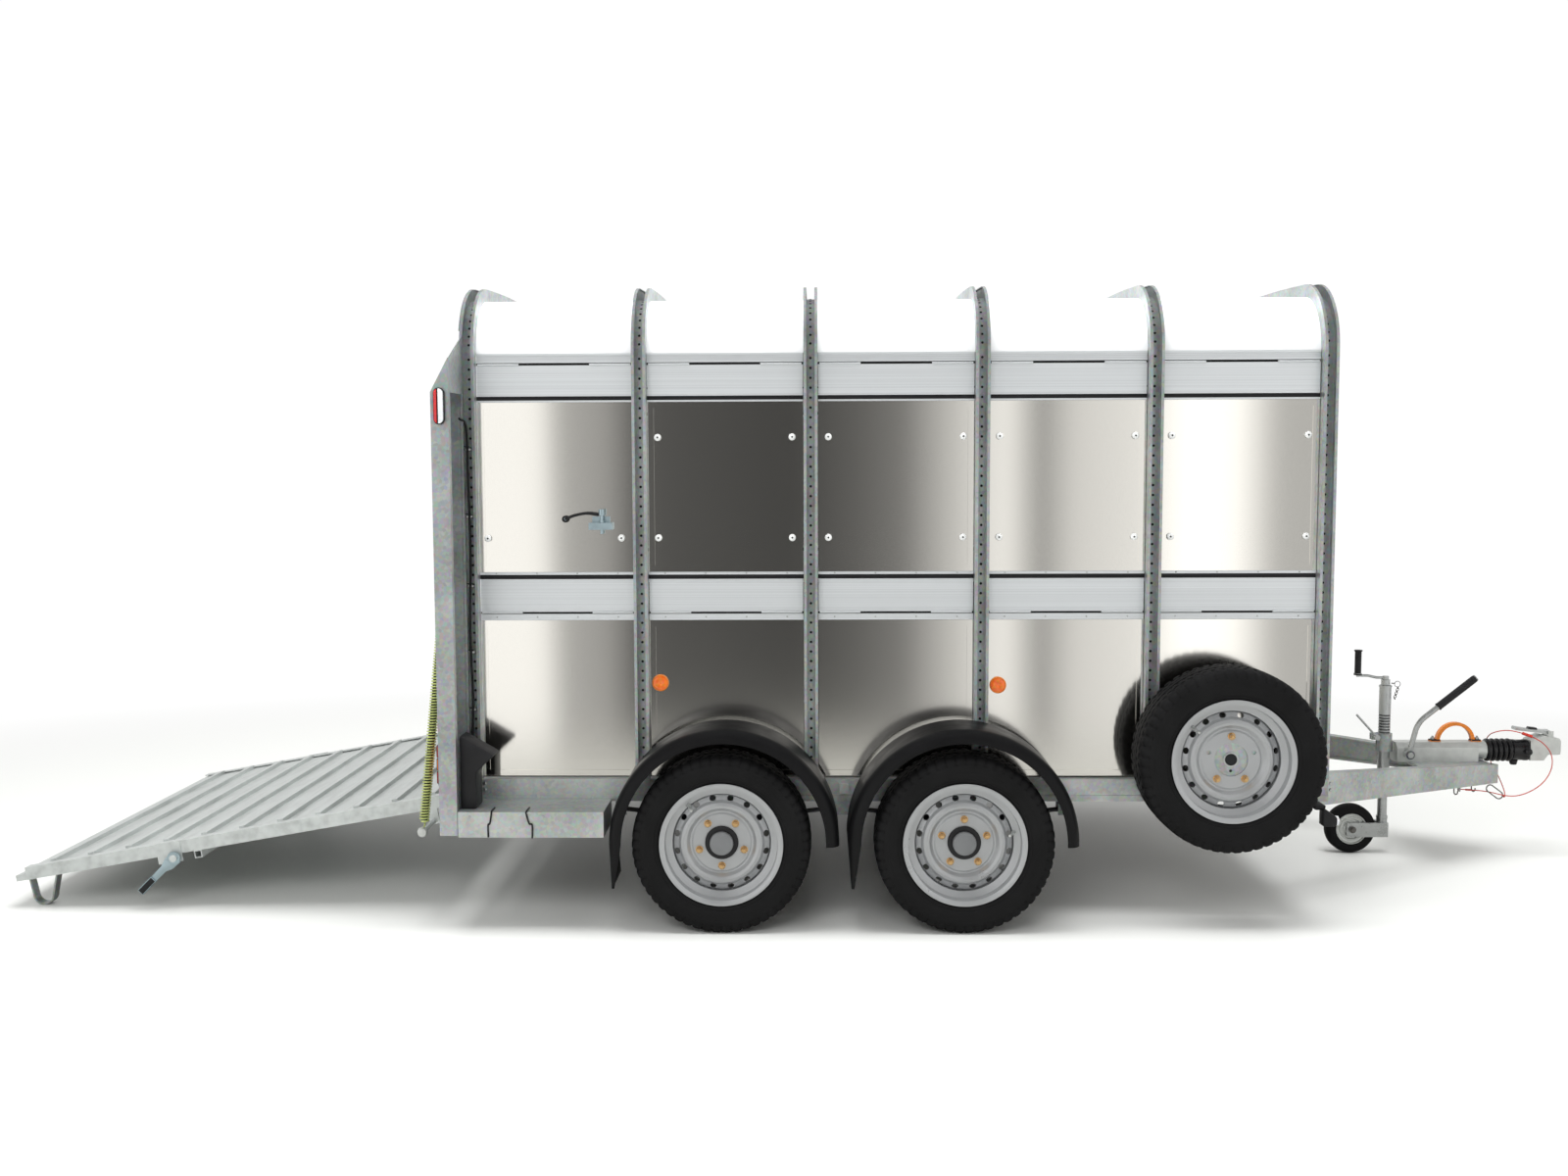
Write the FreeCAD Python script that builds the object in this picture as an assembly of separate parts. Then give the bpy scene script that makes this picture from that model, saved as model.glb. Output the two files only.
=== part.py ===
"""Twin-axle livestock trailer with a lowered rear ramp.

Millimetres. +X points to the tow coupling, +Y to the trailer's left side, +Z up.
The origin is on the ground, under the middle of the whole trailer's length and width.
"""
import math
import os

import FreeCAD, Part

# ---------------------------------------------------------------- driving dimensions
BAY = 609.6                # distance between hoops
BAYS = 5                   # bays along the body
HALF_WIDTH = 920.0         # middle of the body to the tips of a hoop's flanges
REAR_X = -1305.0           # middle of the rear hoop
FRONT_X = REAR_X + BAY * BAYS
RAIL_LOW = 420.0           # underside of the chassis side rail
RAIL_TOP = 500.0
DECK_TOP = 504.0
DECK_HALF = 862.0
EAVES_Z = 2030.0           # where a post ends and the roof bow starts
CORNER_R = 250.0           # outer radius of the roof corner
CROWN_ANGLE = 3.0          # degrees left to the gentle roof crown each side

HOOP_W = 50.0              # lipped channel of posts and bows
HOOP_DEPTH = 46.0
HOOP_T = 3.0
HOOP_LIP = 10.0

PANEL_Y = 880.0            # outer face of the side panels
PANEL_T = 8.0
FIELD_Y = -PANEL_Y + 2.0   # a panel's field is pressed in behind its border
PANEL_GAP = 2.0            # between a panel and a hoop
LOWER_TOP = 1075.0         # top of the lower panels
FLAP_LOW = (1104.0, 1224.0)
MID_PANEL = (1250.0, 1857.0)
FLAP_HIGH = (1879.0, 1990.0)
GUTTER = (1997.0, 2030.0)

TRACK_Y = 1055.0           # middle plane of a road wheel
WHEEL_X = {"rear": -400.0, "front": 448.0}
WHEEL_Z = 314.0
TYRE_R = 314.0             # under load; the spare hangs free
SPARE_R = 325.0
TYRE_HALF_W = 95.0
RIM_SEAT_R = 203.0
RIM_FLANGE_R = 214.0
STUD_R = 165.1 / 2.0
STUDS = 5
VENTS = 16
VENT_R = 159.0
HUB_FACE = 35.0            # wheel's mounting face, outwards from the wheel's middle plane

SPARE_X = 1374.0
SPARE_Z = 604.0
SPARE_Y = 1040.0

GUARD_R = 402.0            # outer radius of a mudguard
GUARD_X = (-391.0, 443.0)  # middles of the mudguards' arches
GUARD_Z = 318.0
GUARD_END = (165.0, 310.0) # lowest points of a mudguard's rear and front ends
GUARD_LIP = 46.0
GUARD_Y = (925.0, 1160.0)
GUARD_T = 4.0

WING_Y = 1135.0            # outer plane of the rear frame and steps
WING_X = -1382.0           # rear face of the rear frame
WING_DEPTH = 62.0
WING_TOP = (1884.0, 2000.0)    # the wing's top slopes up from its rear to its front edge

RAMP_HINGE = (-1406.0, 416.0)
RAMP_SLOPE = 10.0
RAMP_LENGTH = 1615.0
RAMP_HALF = 858.0
RAMP_BOARD = 42.1          # length of the board at the ramp's free end
RAMP_TOP = 20.0            # top edge of the ramp's side channel above the hinge line
RAMP_LOW = -27.0
RAMP_BARS = (48.0, 430.0, 815.0, 1200.0, 1590.0)
RAMP_FLANGE = 100.0        # width of the side channel's lower flange, which carries the feet
FOOT_Y = 786.0             # middle of a ramp foot
CLEATS = 11
CLEAT_PITCH = 145.0
RAMP_PIN_R = 8.0
SPRING_END_U = 77.0        # lower end of the ramp spring, along the ramp from the hinge
SPRING_END_W = -69.0
SPRING_Y = 1020.0
SPRING_TOP = (-1402.0, 955.0, 1100.0)  # x, distance from the middle, z
CATCH_U = 1050.0
CATCH_W = -37.0

BEAM_ROOT = (1700.0, 720.0)    # drawbar beam, outer face in plan: x, distance from the middle
BEAM_TIP = (2753.0, 70.0)
BEAM_FLANGE = 50.0
BEAM_T = 6.0

SHAFT_Z = 434.0            # overrun shaft of the coupling
SHAFT_R = 25.0
HOUSING_X = (2345.0, 2722.0)
HOUSING_TOP = 471.0
HANDLE_X = 2600.0
BELLOWS_X = (2722.0, 2830.0)
COLLAR_END = 2899.0
BALL_X = 3000.0
BALL_Z = 441.0
BALL_R = 25.25
NOSE_X = 3037.0

JACK_X = 2307.0
JACK_R = 24.0
JACK_INNER_R = 19.0
JOCKEY_X = 2173.0
JOCKEY_R = 103.0

RUN = 0.06                 # radial clearance of a running fit
OUT = "parts"

CABLE_R = 2.0
CABLE_ROUTE = [
    (2562.0, -150.0, 299.0), (2611.0, -141.0, 294.0), (2659.0, -127.0, 288.0),
    (2706.0, -114.0, 279.0), (2757.0, -130.0, 267.0), (2811.0, -120.0, 263.0),
    (2866.0, -110.0, 278.0), (2912.0, -104.0, 304.0), (2946.0, -101.0, 343.0),
    (2963.0, -98.0, 390.0), (2957.0, -94.0, 439.0), (2926.0, -88.0, 479.0),
    (2884.0, -78.0, 503.0), (2838.0, -66.0, 519.0), (2797.0, -44.0, 525.0),
    (2766.0, -12.0, 513.0), (2752.0, 28.0, 492.0), (2752.0, 58.0, 452.0),
    (2766.0, 66.0, 404.0), (2786.0, 56.0, 356.0), (2797.0, 22.0, 318.0),
    (2793.0, -26.0, 288.0), (2783.0, -72.0, 268.0), (2768.0, -104.0, 260.0),
    (2751.0, -119.0, 260.0),
]
CLIP_CENTRE = (2718.0, -122.0, 282.0)
CLIP_HALF = 38.0
CLIP_R = 15.0
CLIP_ROD = 2.5
CLIP_TILT = 36.9           # degrees the clip hangs below the level, towards the nose


# ---------------------------------------------------------------- small helpers
def vec(x, y, z):
    return FreeCAD.Vector(x, y, z)


def box(x0, x1, y0, y1, z0, z1):
    return Part.makeBox(x1 - x0, y1 - y0, z1 - z0, vec(x0, y0, z0))


def hollow_bar(x0, x1, y0, y1, z0, z1, wall=3.0):
    """Rectangular tube along Y, open at its ends."""
    inside = box(x0 + wall, x1 - wall, y0 - 1, y1 + 1, z0 + wall, z1 - wall)
    return box(x0, x1, y0, y1, z0, z1).cut(inside)


def rod(radius, start, end):
    a = vec(*start)
    b = vec(*end)
    return Part.makeCylinder(radius, (b - a).Length, a, b - a)


def tube(radius, bore, start, end):
    return rod(radius, start, end).cut(rod(bore, start, end))


def face_of(points):
    return Part.Face(Part.makePolygon([vec(*p) for p in points] + [vec(*points[0])]))


def prism_xz(points, y0, y1):
    return face_of([(x, y0, z) for x, z in points]).extrude(vec(0, y1 - y0, 0))


def prism_yz(points, x0, x1):
    return face_of([(x0, y, z) for y, z in points]).extrude(vec(x1 - x0, 0, 0))


def prism_xy(points, z0, z1):
    return face_of([(x, y, z0) for x, y in points]).extrude(vec(0, 0, z1 - z0))


def fuse(shapes):
    first = shapes[0]
    return first.multiFuse(shapes[1:]).removeSplitter()


def mirror_y(shape):
    return shape.mirror(vec(0, 0, 0), vec(0, 1, 0))


def both_sides(shapes):
    return shapes + [mirror_y(s) for s in shapes]


def turn(shape, centre, axis, degrees):
    copy = shape.copy()
    copy.rotate(vec(*centre), vec(*axis), degrees)
    return copy


def save(node, shapes):
    solids = []
    for shape in shapes:
        solids.extend(shape.Solids)
    for solid in solids:
        if not solid.isValid() or solid.Volume <= 0:
            raise ValueError("bad solid in " + node)
    body = solids[0] if len(solids) == 1 else Part.makeCompound(solids)
    body.exportStep(os.path.join(OUT, node + ".step"))
    print(f"{node:24s} {len(solids):4d} solids {sum(s.Volume for s in solids) / 1e6:9.3f} litres")


def hoop_places():
    return [REAR_X + BAY * k for k in range(BAYS + 1)]


def bay_spans():
    edge = HOOP_W / 2.0 + PANEL_GAP
    return [(x + edge, x + BAY - edge) for x in hoop_places()[:-1]]


# ---------------------------------------------------------------- chassis and floor
def side_rail():
    y = HALF_WIDTH - 5.0
    outline = [(-y, RAIL_LOW), (-y, RAIL_TOP), (-y + 50, RAIL_TOP), (-y + 50, RAIL_TOP - 4),
               (-y + 4, RAIL_TOP - 4), (-y + 4, RAIL_LOW + 4), (-y + 50, RAIL_LOW + 4),
               (-y + 50, RAIL_LOW)]
    x0 = REAR_X - HOOP_W / 2.0
    x1 = FRONT_X + HOOP_W / 2.0
    channel = prism_yz(outline, x0, x1)
    rib = box(REAR_X + HOOP_W / 2.0, x1, -y - 3, -y, RAIL_LOW + 10, RAIL_LOW + 22)
    return fuse([channel, rib])


def mudguard_arms():
    arms = []
    for centre in GUARD_X:
        for side in (-1, 1):
            x = centre + side * 355.0
            arms.append(box(x - 6, x + 6, -GUARD_Y[1] + 50, -HALF_WIDTH + 5, 455, 485))
    return arms


def chassis_frame():
    solids = both_sides([side_rail()] + mudguard_arms())
    for x in [REAR_X + 10] + hoop_places()[1:-1]:
        solids.append(hollow_bar(x - 20, x + 20, -DECK_HALF, DECK_HALF, RAIL_LOW, DECK_TOP - 24))
    solids.append(hollow_bar(FRONT_X - 6, FRONT_X + 25, -DECK_HALF, DECK_HALF, RAIL_LOW, RAIL_TOP))
    stub = box(15, 50, -HALF_WIDTH - 15, -HALF_WIDTH + 5, 452, 487)
    solids.extend(both_sides([stub]))
    return solids


def floor_deck():
    x0 = REAR_X - HOOP_W / 2.0
    return [box(x0, FRONT_X - 8, -DECK_HALF, DECK_HALF, DECK_TOP - 24, DECK_TOP)]


def drawbar_beam():
    """One tapered channel of the A-frame, drawn along +X and then swung into place."""
    run_x = BEAM_TIP[0] - BEAM_ROOT[0]
    run_y = BEAM_ROOT[1] - BEAM_TIP[1]
    length = math.hypot(run_x, run_y)
    low = (346.0, 308.0)
    top = (474.0, 386.0)

    def strip(z_start, z_end, depth, y0, y1):
        outline = [(0, z_start), (length, z_end), (length, z_end + depth), (0, z_start + depth)]
        return prism_xz(outline, y0, y1)

    web = prism_xz([(0, low[0]), (length, low[1]), (length, top[1]), (0, top[0])], 0, BEAM_T)
    upper = strip(top[0] - BEAM_T, top[1] - BEAM_T, BEAM_T, 0, BEAM_FLANGE)
    lower = strip(low[0], low[1], BEAM_T, 0, BEAM_FLANGE)
    tip = prism_xz([(length - BEAM_T, low[1]), (length, low[1]), (length, top[1]),
                    (length - BEAM_T, top[1])], 0, BEAM_FLANGE)
    beam = fuse([web, upper, lower, tip])
    beam = turn(beam, (0, 0, 0), (0, 0, 1), math.degrees(math.atan2(run_y, run_x)))
    beam.translate(vec(BEAM_ROOT[0], -BEAM_ROOT[1], 0))
    return beam.cut(box(1000, FRONT_X + 26, -1000, 0, RAIL_LOW - 2, 600))


def beam_inner_y(x):
    slope = (BEAM_ROOT[1] - BEAM_TIP[1]) / (BEAM_TIP[0] - BEAM_ROOT[0])
    return BEAM_ROOT[1] - (x - BEAM_ROOT[0]) * slope


def drawbar():
    beam = drawbar_beam()
    beams = [beam, mirror_y(beam)]
    nose = []
    x0 = 2400.0
    x1 = BELLOWS_X[0] - 6
    wide = beam_inner_y(x0) - 40
    narrow = beam_inner_y(x1) - 15
    plate = prism_xy([(x0, -wide), (x1, -narrow), (x1, narrow), (x0, wide)], 380, 392)
    nose.append(plate.cut(beams[0]).cut(beams[1]))
    collar = tube(32, JACK_R + RUN, (JACK_X, 0, 430), (JACK_X, 0, 505))
    foot = box(JACK_X + 28, HOUSING_X[0], -20, 20, 430, 466)
    ears = [box(2252, JACK_X - 26, y0, y0 + 8, 478, 505) for y0 in (-14.0, 6.0)]
    clamp = fuse([collar, foot] + ears)
    clamp = clamp.cut(rod(JACK_R + RUN, (JACK_X, 0, 420), (JACK_X, 0, 520)))
    clamp = clamp.cut(box(2240, JACK_X, -6, 6, 425, 510))
    clamp = clamp.cut(rod(6 + RUN, (2266, -30, 492), (2266, 30, 492)))
    eye = tube(10, 6, (2558, -150, 299), (2564, -150, 299))
    stem = box(2559, 2563, -152, -148, 308.5, 317)
    guide = fuse([eye, stem])
    return beams + nose + [clamp, guide]


# ---------------------------------------------------------------- body shell
def channel_section(x, z):
    """Lipped channel, open outwards, as a face at height z on the -Y side."""
    half = HOOP_W / 2.0
    lip = half - HOOP_LIP
    wall = half - HOOP_T
    out = -HALF_WIDTH
    web = out + HOOP_DEPTH
    outline = [(-half, out), (-lip, out), (-lip, out + HOOP_T), (-wall, out + HOOP_T),
               (-wall, web - HOOP_T), (wall, web - HOOP_T), (wall, out + HOOP_T),
               (lip, out + HOOP_T), (lip, out), (half, out), (half, web), (-half, web)]
    return face_of([(x + dx, y, z) for dx, y in outline])


def side_posts():
    posts = []
    for x in hoop_places():
        posts.append(channel_section(x, RAIL_TOP).extrude(vec(0, 0, EAVES_Z - RAIL_TOP)))
    return both_sides(posts)


def crown_centre():
    """Height of the crown arc's centre, and the crown's outer radius."""
    reach = (HALF_WIDTH - CORNER_R) / math.sin(math.radians(CROWN_ANGLE))
    return EAVES_Z - reach * math.cos(math.radians(CROWN_ANGLE)), reach + CORNER_R


def roof_bows():
    bows = []
    corner = vec(0, -(HALF_WIDTH - CORNER_R), EAVES_Z)
    centre_z, _ = crown_centre()
    for x in hoop_places():
        section = channel_section(x, EAVES_Z)
        bend = section.revolve(corner, vec(-1, 0, 0), 90.0 - CROWN_ANGLE)
        joined = section.copy()
        joined.rotate(corner, vec(-1, 0, 0), 90.0 - CROWN_ANGLE)
        crown = joined.revolve(vec(0, 0, centre_z), vec(-1, 0, 0), 2.0 * CROWN_ANGLE)
        bows.extend([bend, mirror_y(bend), crown])
    return bows


def roof_edge(depth):
    """Arcs of the roof line, the given depth inside the hoops' outer line, from -Y to +Y."""
    centre_y = HALF_WIDTH - CORNER_R
    radius = CORNER_R - depth
    centre_z, crown_r = crown_centre()
    crown_r = crown_r - depth
    join = math.radians(90.0 - CROWN_ANGLE)
    half = join / 2.0
    start = vec(0, -(centre_y + radius), EAVES_Z)
    middle = vec(0, -(centre_y + radius * math.cos(half)), EAVES_Z + radius * math.sin(half))
    end = vec(0, -(centre_y + radius * math.cos(join)), EAVES_Z + radius * math.sin(join))
    top = vec(0, 0, centre_z + crown_r)
    flip = [vec(0, -p.y, p.z) for p in (start, middle, end)]
    left = Part.Arc(start, middle, end).toShape()
    crown = Part.Arc(end, top, flip[2]).toShape()
    right = Part.Arc(flip[2], flip[1], flip[0]).toShape()
    return [left, crown, right], start, flip[0]


def roof_skin():
    outer, outer_a, outer_b = roof_edge(HOOP_DEPTH + 0.4)
    inner, inner_a, inner_b = roof_edge(HOOP_DEPTH + 3.4)
    ends = [Part.makeLine(outer_b, inner_b), Part.makeLine(inner_a, outer_a)]
    edges = outer + inner + ends
    wire = Part.Wire(Part.__sortEdges__(edges))
    x0 = REAR_X - HOOP_W / 2.0
    x1 = FRONT_X + HOOP_W / 2.0
    skin = Part.Face(wire).extrude(vec(x1 - x0, 0, 0))
    skin.translate(vec(x0, 0, 0))
    return [skin]


def front_wall():
    edges, start, end = roof_edge(HOOP_DEPTH + 4.0)
    low_a = vec(0, start.y, RAIL_TOP)
    low_b = vec(0, end.y, RAIL_TOP)
    edges = edges + [Part.makeLine(end, low_b), Part.makeLine(low_b, low_a), Part.makeLine(low_a, start)]
    wall = Part.Face(Part.Wire(Part.__sortEdges__(edges))).extrude(vec(PANEL_T, 0, 0))
    wall.translate(vec(FRONT_X - 5, 0, 0))
    boards = []
    for z0, z1 in ((RAIL_TOP, FLAP_LOW[1]), (1240.0, 1864.0), (FLAP_HIGH[0], 2400.0)):
        boards.append(wall.common(box(FRONT_X - 20, FRONT_X + 30, -1000, 1000, z0, z1)))
    ribs = []
    face = FRONT_X - 5 + PANEL_T
    for y in (-560.0, 0.0, 560.0):
        ribs.append(box(face, face + 12, y - 20, y + 20, 520, 2180))
    return boards + ribs


def framed_panel(x0, x1, z0, z1):
    """Side panel with a raised border and a slightly sunk field."""
    border = 22.0
    panel = box(x0, x1, -PANEL_Y, -PANEL_Y + PANEL_T, z0, z1)
    field = box(x0 + border, x1 - border, -PANEL_Y - 1, FIELD_Y, z0 + border, z1 - border)
    return panel.cut(field)


def lower_side_panels():
    return both_sides([framed_panel(x0, x1, DECK_TOP + 2, LOWER_TOP) for x0, x1 in bay_spans()])


def middle_side_panels():
    return both_sides([framed_panel(x0, x1, *MID_PANEL) for x0, x1 in bay_spans()])


def side_rails():
    """Plain strips between the panels and flaps, and the gutter under the roof."""
    strips = []
    y = -PANEL_Y - 2
    for x0, x1 in bay_spans():
        strips.append(box(x0, x1, y, y + 20, LOWER_TOP + 1, 1098))
        strips.append(box(x0, x1, y, y + 20, 1240, MID_PANEL[0] - 0.5))
        strips.append(box(x0, x1, y, y + 20, MID_PANEL[1] + 0.5, 1864))
        gutter = box(x0, x1, y, y + 20, *GUTTER)
        groove = box(x0 - 1, x1 + 1, y - 1, y + 5, GUTTER[0] + 8, GUTTER[1] - 8)
        strips.append(gutter.cut(groove))
    return both_sides(strips)


def vent_row(upper):
    """Five hinged flaps, one per bay, on the -Y side."""
    z0, z1 = FLAP_HIGH if upper else FLAP_LOW
    hinge_z = z1 if upper else z0
    flaps = []
    for x0, x1 in bay_spans():
        a = x0 + 1
        b = x1 - 1
        y = -PANEL_Y - 2
        low, high = (z0, z1 - 2) if upper else (z0 + 2, z1)
        plate = box(a, b, y, y + 14, low, high)
        plate = plate.cut(box(a + 12, b - 12, y + 4, y + 15, low + 12, high - 12))
        knuckles = []
        for k0, k1 in ((a + 4, a + 150), (b - 150, b - 4)):
            knuckles.append(rod(4.5, (k0, y, hinge_z), (k1, y, hinge_z)))
        flaps.append(fuse([plate] + knuckles))
    return flaps


def round_bolt(x, z, radius, proud):
    return rod(radius, (x, FIELD_Y, z), (x, -PANEL_Y - proud, z))


def side_fittings():
    bolts = []
    for number, x in enumerate(hoop_places()[:-1]):
        left = x + (58 if number == 0 else 63)
        right = x + BAY - (70 if number == 0 else 66)
        heights = (1372.0,) if number == 0 else (1372.0, 1731.0)
        for z in heights:
            bolts.append(round_bolt(left, z, 8, 5))
            bolts.append(round_bolt(right, z, 8, 5))
    shelf = box(-880, -796, -PANEL_Y - 30, FIELD_Y, 1403, 1428)
    back = box(-870, -806, -PANEL_Y - 4, FIELD_Y, 1428, 1450)
    latch = fuse([shelf, back])
    latch = latch.cut(rod(6 + RUN, (-834, -PANEL_Y - 18, 1390), (-834, -PANEL_Y - 18, 1440)))
    eye = tube(9, 4, (-966, FIELD_Y, 1441), (-966, -PANEL_Y - 12, 1441))
    return both_sides(bolts) + [latch, eye]


def latch_pin():
    y = -PANEL_Y - 18
    shank = rod(6, (-834, y, 1388), (-834, y, 1454))
    head = rod(12, (-834, y, 1454), (-834, y, 1476))
    stop = rod(9, (-834, y, 1429), (-834, y, 1436))
    return [fuse([shank, head, stop])]


# ---------------------------------------------------------------- rear frame and steps
def above_wing():
    """Everything over the wing's sloping top."""
    front = WING_X + WING_DEPTH
    low, high = WING_TOP
    corners = [(WING_X, low), (WING_X, 2300), (front, 2300), (front, high)]
    return prism_xz(corners, -WING_Y - 5, -DECK_HALF + 5)


def rear_wing():
    front = WING_X + WING_DEPTH
    low, high = WING_TOP
    sheet = box(WING_X, WING_X + 3, -WING_Y, -DECK_HALF, 346, high)
    outer = box(WING_X + 3, front, -WING_Y, -WING_Y + 3, 346, high)
    lip = box(front - 3, front, -WING_Y + 3, -WING_Y + 28, 346, high)
    slope = [(WING_X + 3, low - 3), (front - 3, high - 9), (front - 3, high), (WING_X + 3, low + 6)]
    cover = prism_xz(slope, -WING_Y + 3, -HALF_WIDTH - 2)
    gusset = prism_yz([(-WING_Y + 3, high - 6), (-HALF_WIDTH - 2, 2088), (-HALF_WIDTH - 2, low),
                       (-WING_Y + 3, low)], front - 3, front)
    foot = box(WING_X + 3, front, -WING_Y + 3, -DECK_HALF - 60, 346, 349)
    return fuse([fuse([sheet, outer, lip, cover, foot]).cut(above_wing()), gusset])


def rear_header():
    """Flat band behind the rear hoop that closes the edge of the roof."""
    face_low = 2110.0
    thick = 5.0
    edges, start, end = roof_edge(6.0)
    lines = [Part.makeLine(end, vec(0, end.y, face_low - 100)),
             Part.makeLine(vec(0, end.y, face_low - 100), vec(0, start.y, face_low - 100)),
             Part.makeLine(vec(0, start.y, face_low - 100), start)]
    header = Part.Face(Part.Wire(Part.__sortEdges__(edges + lines))).extrude(vec(thick, 0, 0))
    header = header.cut(box(-5, thick + 5, -1000, 1000, 1900, face_low))
    inner, inner_a, inner_b = roof_edge(60.0)
    close = Part.makeLine(inner_b, inner_a)
    hole = Part.Face(Part.Wire(Part.__sortEdges__(inner + [close]))).extrude(vec(3 * thick, 0, 0))
    hole.translate(vec(-thick, 0, 0))
    header = header.cut(hole)
    header.translate(vec(REAR_X - HOOP_W / 2.0 - thick, 0, 0))
    return header


def rear_frame():
    wing = rear_wing()
    post = box(WING_X + 3, REAR_X - 26, -HALF_WIDTH, -DECK_HALF, 349, WING_TOP[1])
    post = post.cut(box(WING_X + 6, REAR_X - 29, -HALF_WIDTH + 3, -DECK_HALF - 3, 340, 2120))
    post = post.cut(above_wing())
    sill = hollow_bar(WING_X + 3, REAR_X - 26, -DECK_HALF, DECK_HALF, 346, 423)
    skirt = box(WING_X, WING_X + 3, -DECK_HALF, DECK_HALF, 346, 423)
    toe = box(REAR_X - 25, REAR_X + 25, -HALF_WIDTH, -HALF_WIDTH + 5, 423, RAIL_TOP)
    anchor = spring_anchor()
    hinges = [hinge_ears(y) for y in (-640.0, 0.0, 640.0)]
    return both_sides([wing, post, toe, anchor]) + [rear_header(), fuse([sill, skirt])] + hinges


def spring_anchor():
    """Bracket and hook for the top of a ramp spring."""
    x, y, z = SPRING_TOP
    bracket = box(x - 12, WING_X, -y - 16, -y + 16, z, z + 30)
    hook = rod(5, (x, -y, z - 20), (x, -y, z))
    return fuse([bracket, hook])


def hinge_ears(y):
    """Two ears on the sill with the fixed hinge pin through them."""
    x, z = RAMP_HINGE
    parts = [rod(RAMP_PIN_R, (x, y - 42, z), (x, y + 42, z))]
    for side in (-1, 1):
        y0 = y + side * 36 - 5
        parts.append(rod(13, (x, y0, z), (x, y0 + 10, z)))
        parts.append(box(x, WING_X, y0, y0 + 10, z - 13, z + 7))
    return fuse(parts)


def rear_steps():
    x0 = WING_X + WING_DEPTH + 2
    x1 = -809.0
    top = box(x0, x1, -WING_Y, -HALF_WIDTH - 1, 427, 430)
    face = box(x0, x1, -WING_Y, -WING_Y + 3, 340, 427)
    low = box(x0, x1, -WING_Y + 3, -WING_Y + 60, 340, 343)
    end = box(x1 - 3, x1, -WING_Y + 3, -HALF_WIDTH - 1, 343, 427)
    return both_sides([fuse([top, face, low, end])])


def rear_lamp():
    """Lens on the rear face of the wing, and the rubber housing behind it."""
    housing = prism_xz([(WING_X + 64, 431), (WING_X + 64, 690), (WING_X + 90, 676),
                        (-1198, 620), (-1262, 560), (-1262, 431)], -1090, -985)
    lens = box(WING_X - 16, WING_X, -1100, -965, 520, 660)
    return [housing, lens]


def oval_marker():
    plan = []
    for k in range(2):
        centre = 1836 + (43.5 if k == 0 else -43.5)
        plan.append(rod(19, (WING_X + 31, -WING_Y, centre), (WING_X + 31, -WING_Y - 16, centre)))
    plan.append(box(WING_X + 12, WING_X + 50, -WING_Y - 16, -WING_Y, 1836 - 43.5, 1836 + 43.5))
    return fuse(plan)


def lamps():
    near = rear_lamp() + [oval_marker()]
    for x, z in ((-631.0, 847.0), (587.0, 838.0)):
        near.append(rod(30, (x, -PANEL_Y, z), (x, -PANEL_Y - 6, z)))
    near.append(front_marker())
    return both_sides(near)


def front_marker():
    """Forward lamp on a rubber arm under the front end of the side rail."""
    arm = box(1700, 1740, -985, -880, 404, RAIL_LOW)
    outline = [(1722, 350), (1772, 350), (1772, 384), (1735, 404), (1722, 404)]
    head = prism_xz(outline, -1010, -960)
    lens = rod(17, (1772, -985, 367), (1784, -985, 367))
    return fuse([arm, head, lens])


def guard_shape(x, radius, end_in, y0, y1):
    """Arch of the given radius with a straight piece down its rear end, end_in further in at its tip."""
    rear_z, front_z = GUARD_END
    arch = rod(radius, (x, -y1, GUARD_Z), (x, -y0, GUARD_Z))
    rear_half = box(x - radius, x, -y1, -y0, GUARD_Z, GUARD_Z + radius)
    front_half = box(x, x + radius, -y1, -y0, front_z, GUARD_Z + radius)
    flap = [(x - radius, GUARD_Z), (x - GUARD_R + end_in, rear_z), (x, rear_z), (x, GUARD_Z)]
    return fuse([arch.common(rear_half), arch.common(front_half), prism_xz(flap, -y1, -y0)])


def mudguard(x):
    """Arched shell with a lip down its outer side; the lip narrows towards the rear end."""
    near, far = GUARD_Y
    shell = guard_shape(x, GUARD_R, 12.0, near, far)
    hollow = guard_shape(x, GUARD_R - GUARD_T, 12.0 + GUARD_T, near - 5, far - GUARD_T)
    mouth = guard_shape(x, GUARD_R - GUARD_LIP, 22.0, near - 5, far + 5)
    return shell.cut(hollow).cut(mouth)


def mudguards():
    return both_sides([mudguard(x) for x in GUARD_X])


# ---------------------------------------------------------------- wheels, hubs, axles
def revolved(profile, x, y_mid, z, side):
    """Spin an (outward, radius) profile about a wheel axis; side is -1 or +1 in Y."""
    points = [(x, y_mid + side * a, z + r) for a, r in profile]
    shape = face_of(points).revolve(vec(x, y_mid, z), vec(0, 1, 0), 360.0)
    return Part.makeSolid(shape.Shells[0]) if not shape.Solids else shape.Solids[0]


def road_tyre(x, side, y_mid, z, tread_r):
    w = TYRE_HALF_W
    bead = RIM_SEAT_R + 0.6
    wall = [(74.5, bead), (75.5, 210), (77, 217.5), (86, 228), (w, 258), (w - 1.5, tread_r - 32),
            (w - 5, tread_r - 14), (w - 12, tread_r - 4.5), (w - 28, tread_r)]
    outer = wall + [(-a, r) for a, r in reversed(wall)]
    inner = [(-58, bead), (-70, 226), (-w + 12, 258), (-w + 16, 282), (-w + 34, 300),
             (w - 34, 300), (w - 16, 282), (w - 12, 258), (70, 226), (58, bead)]
    return revolved(outer + inner, x, side * y_mid, z, side)


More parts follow.
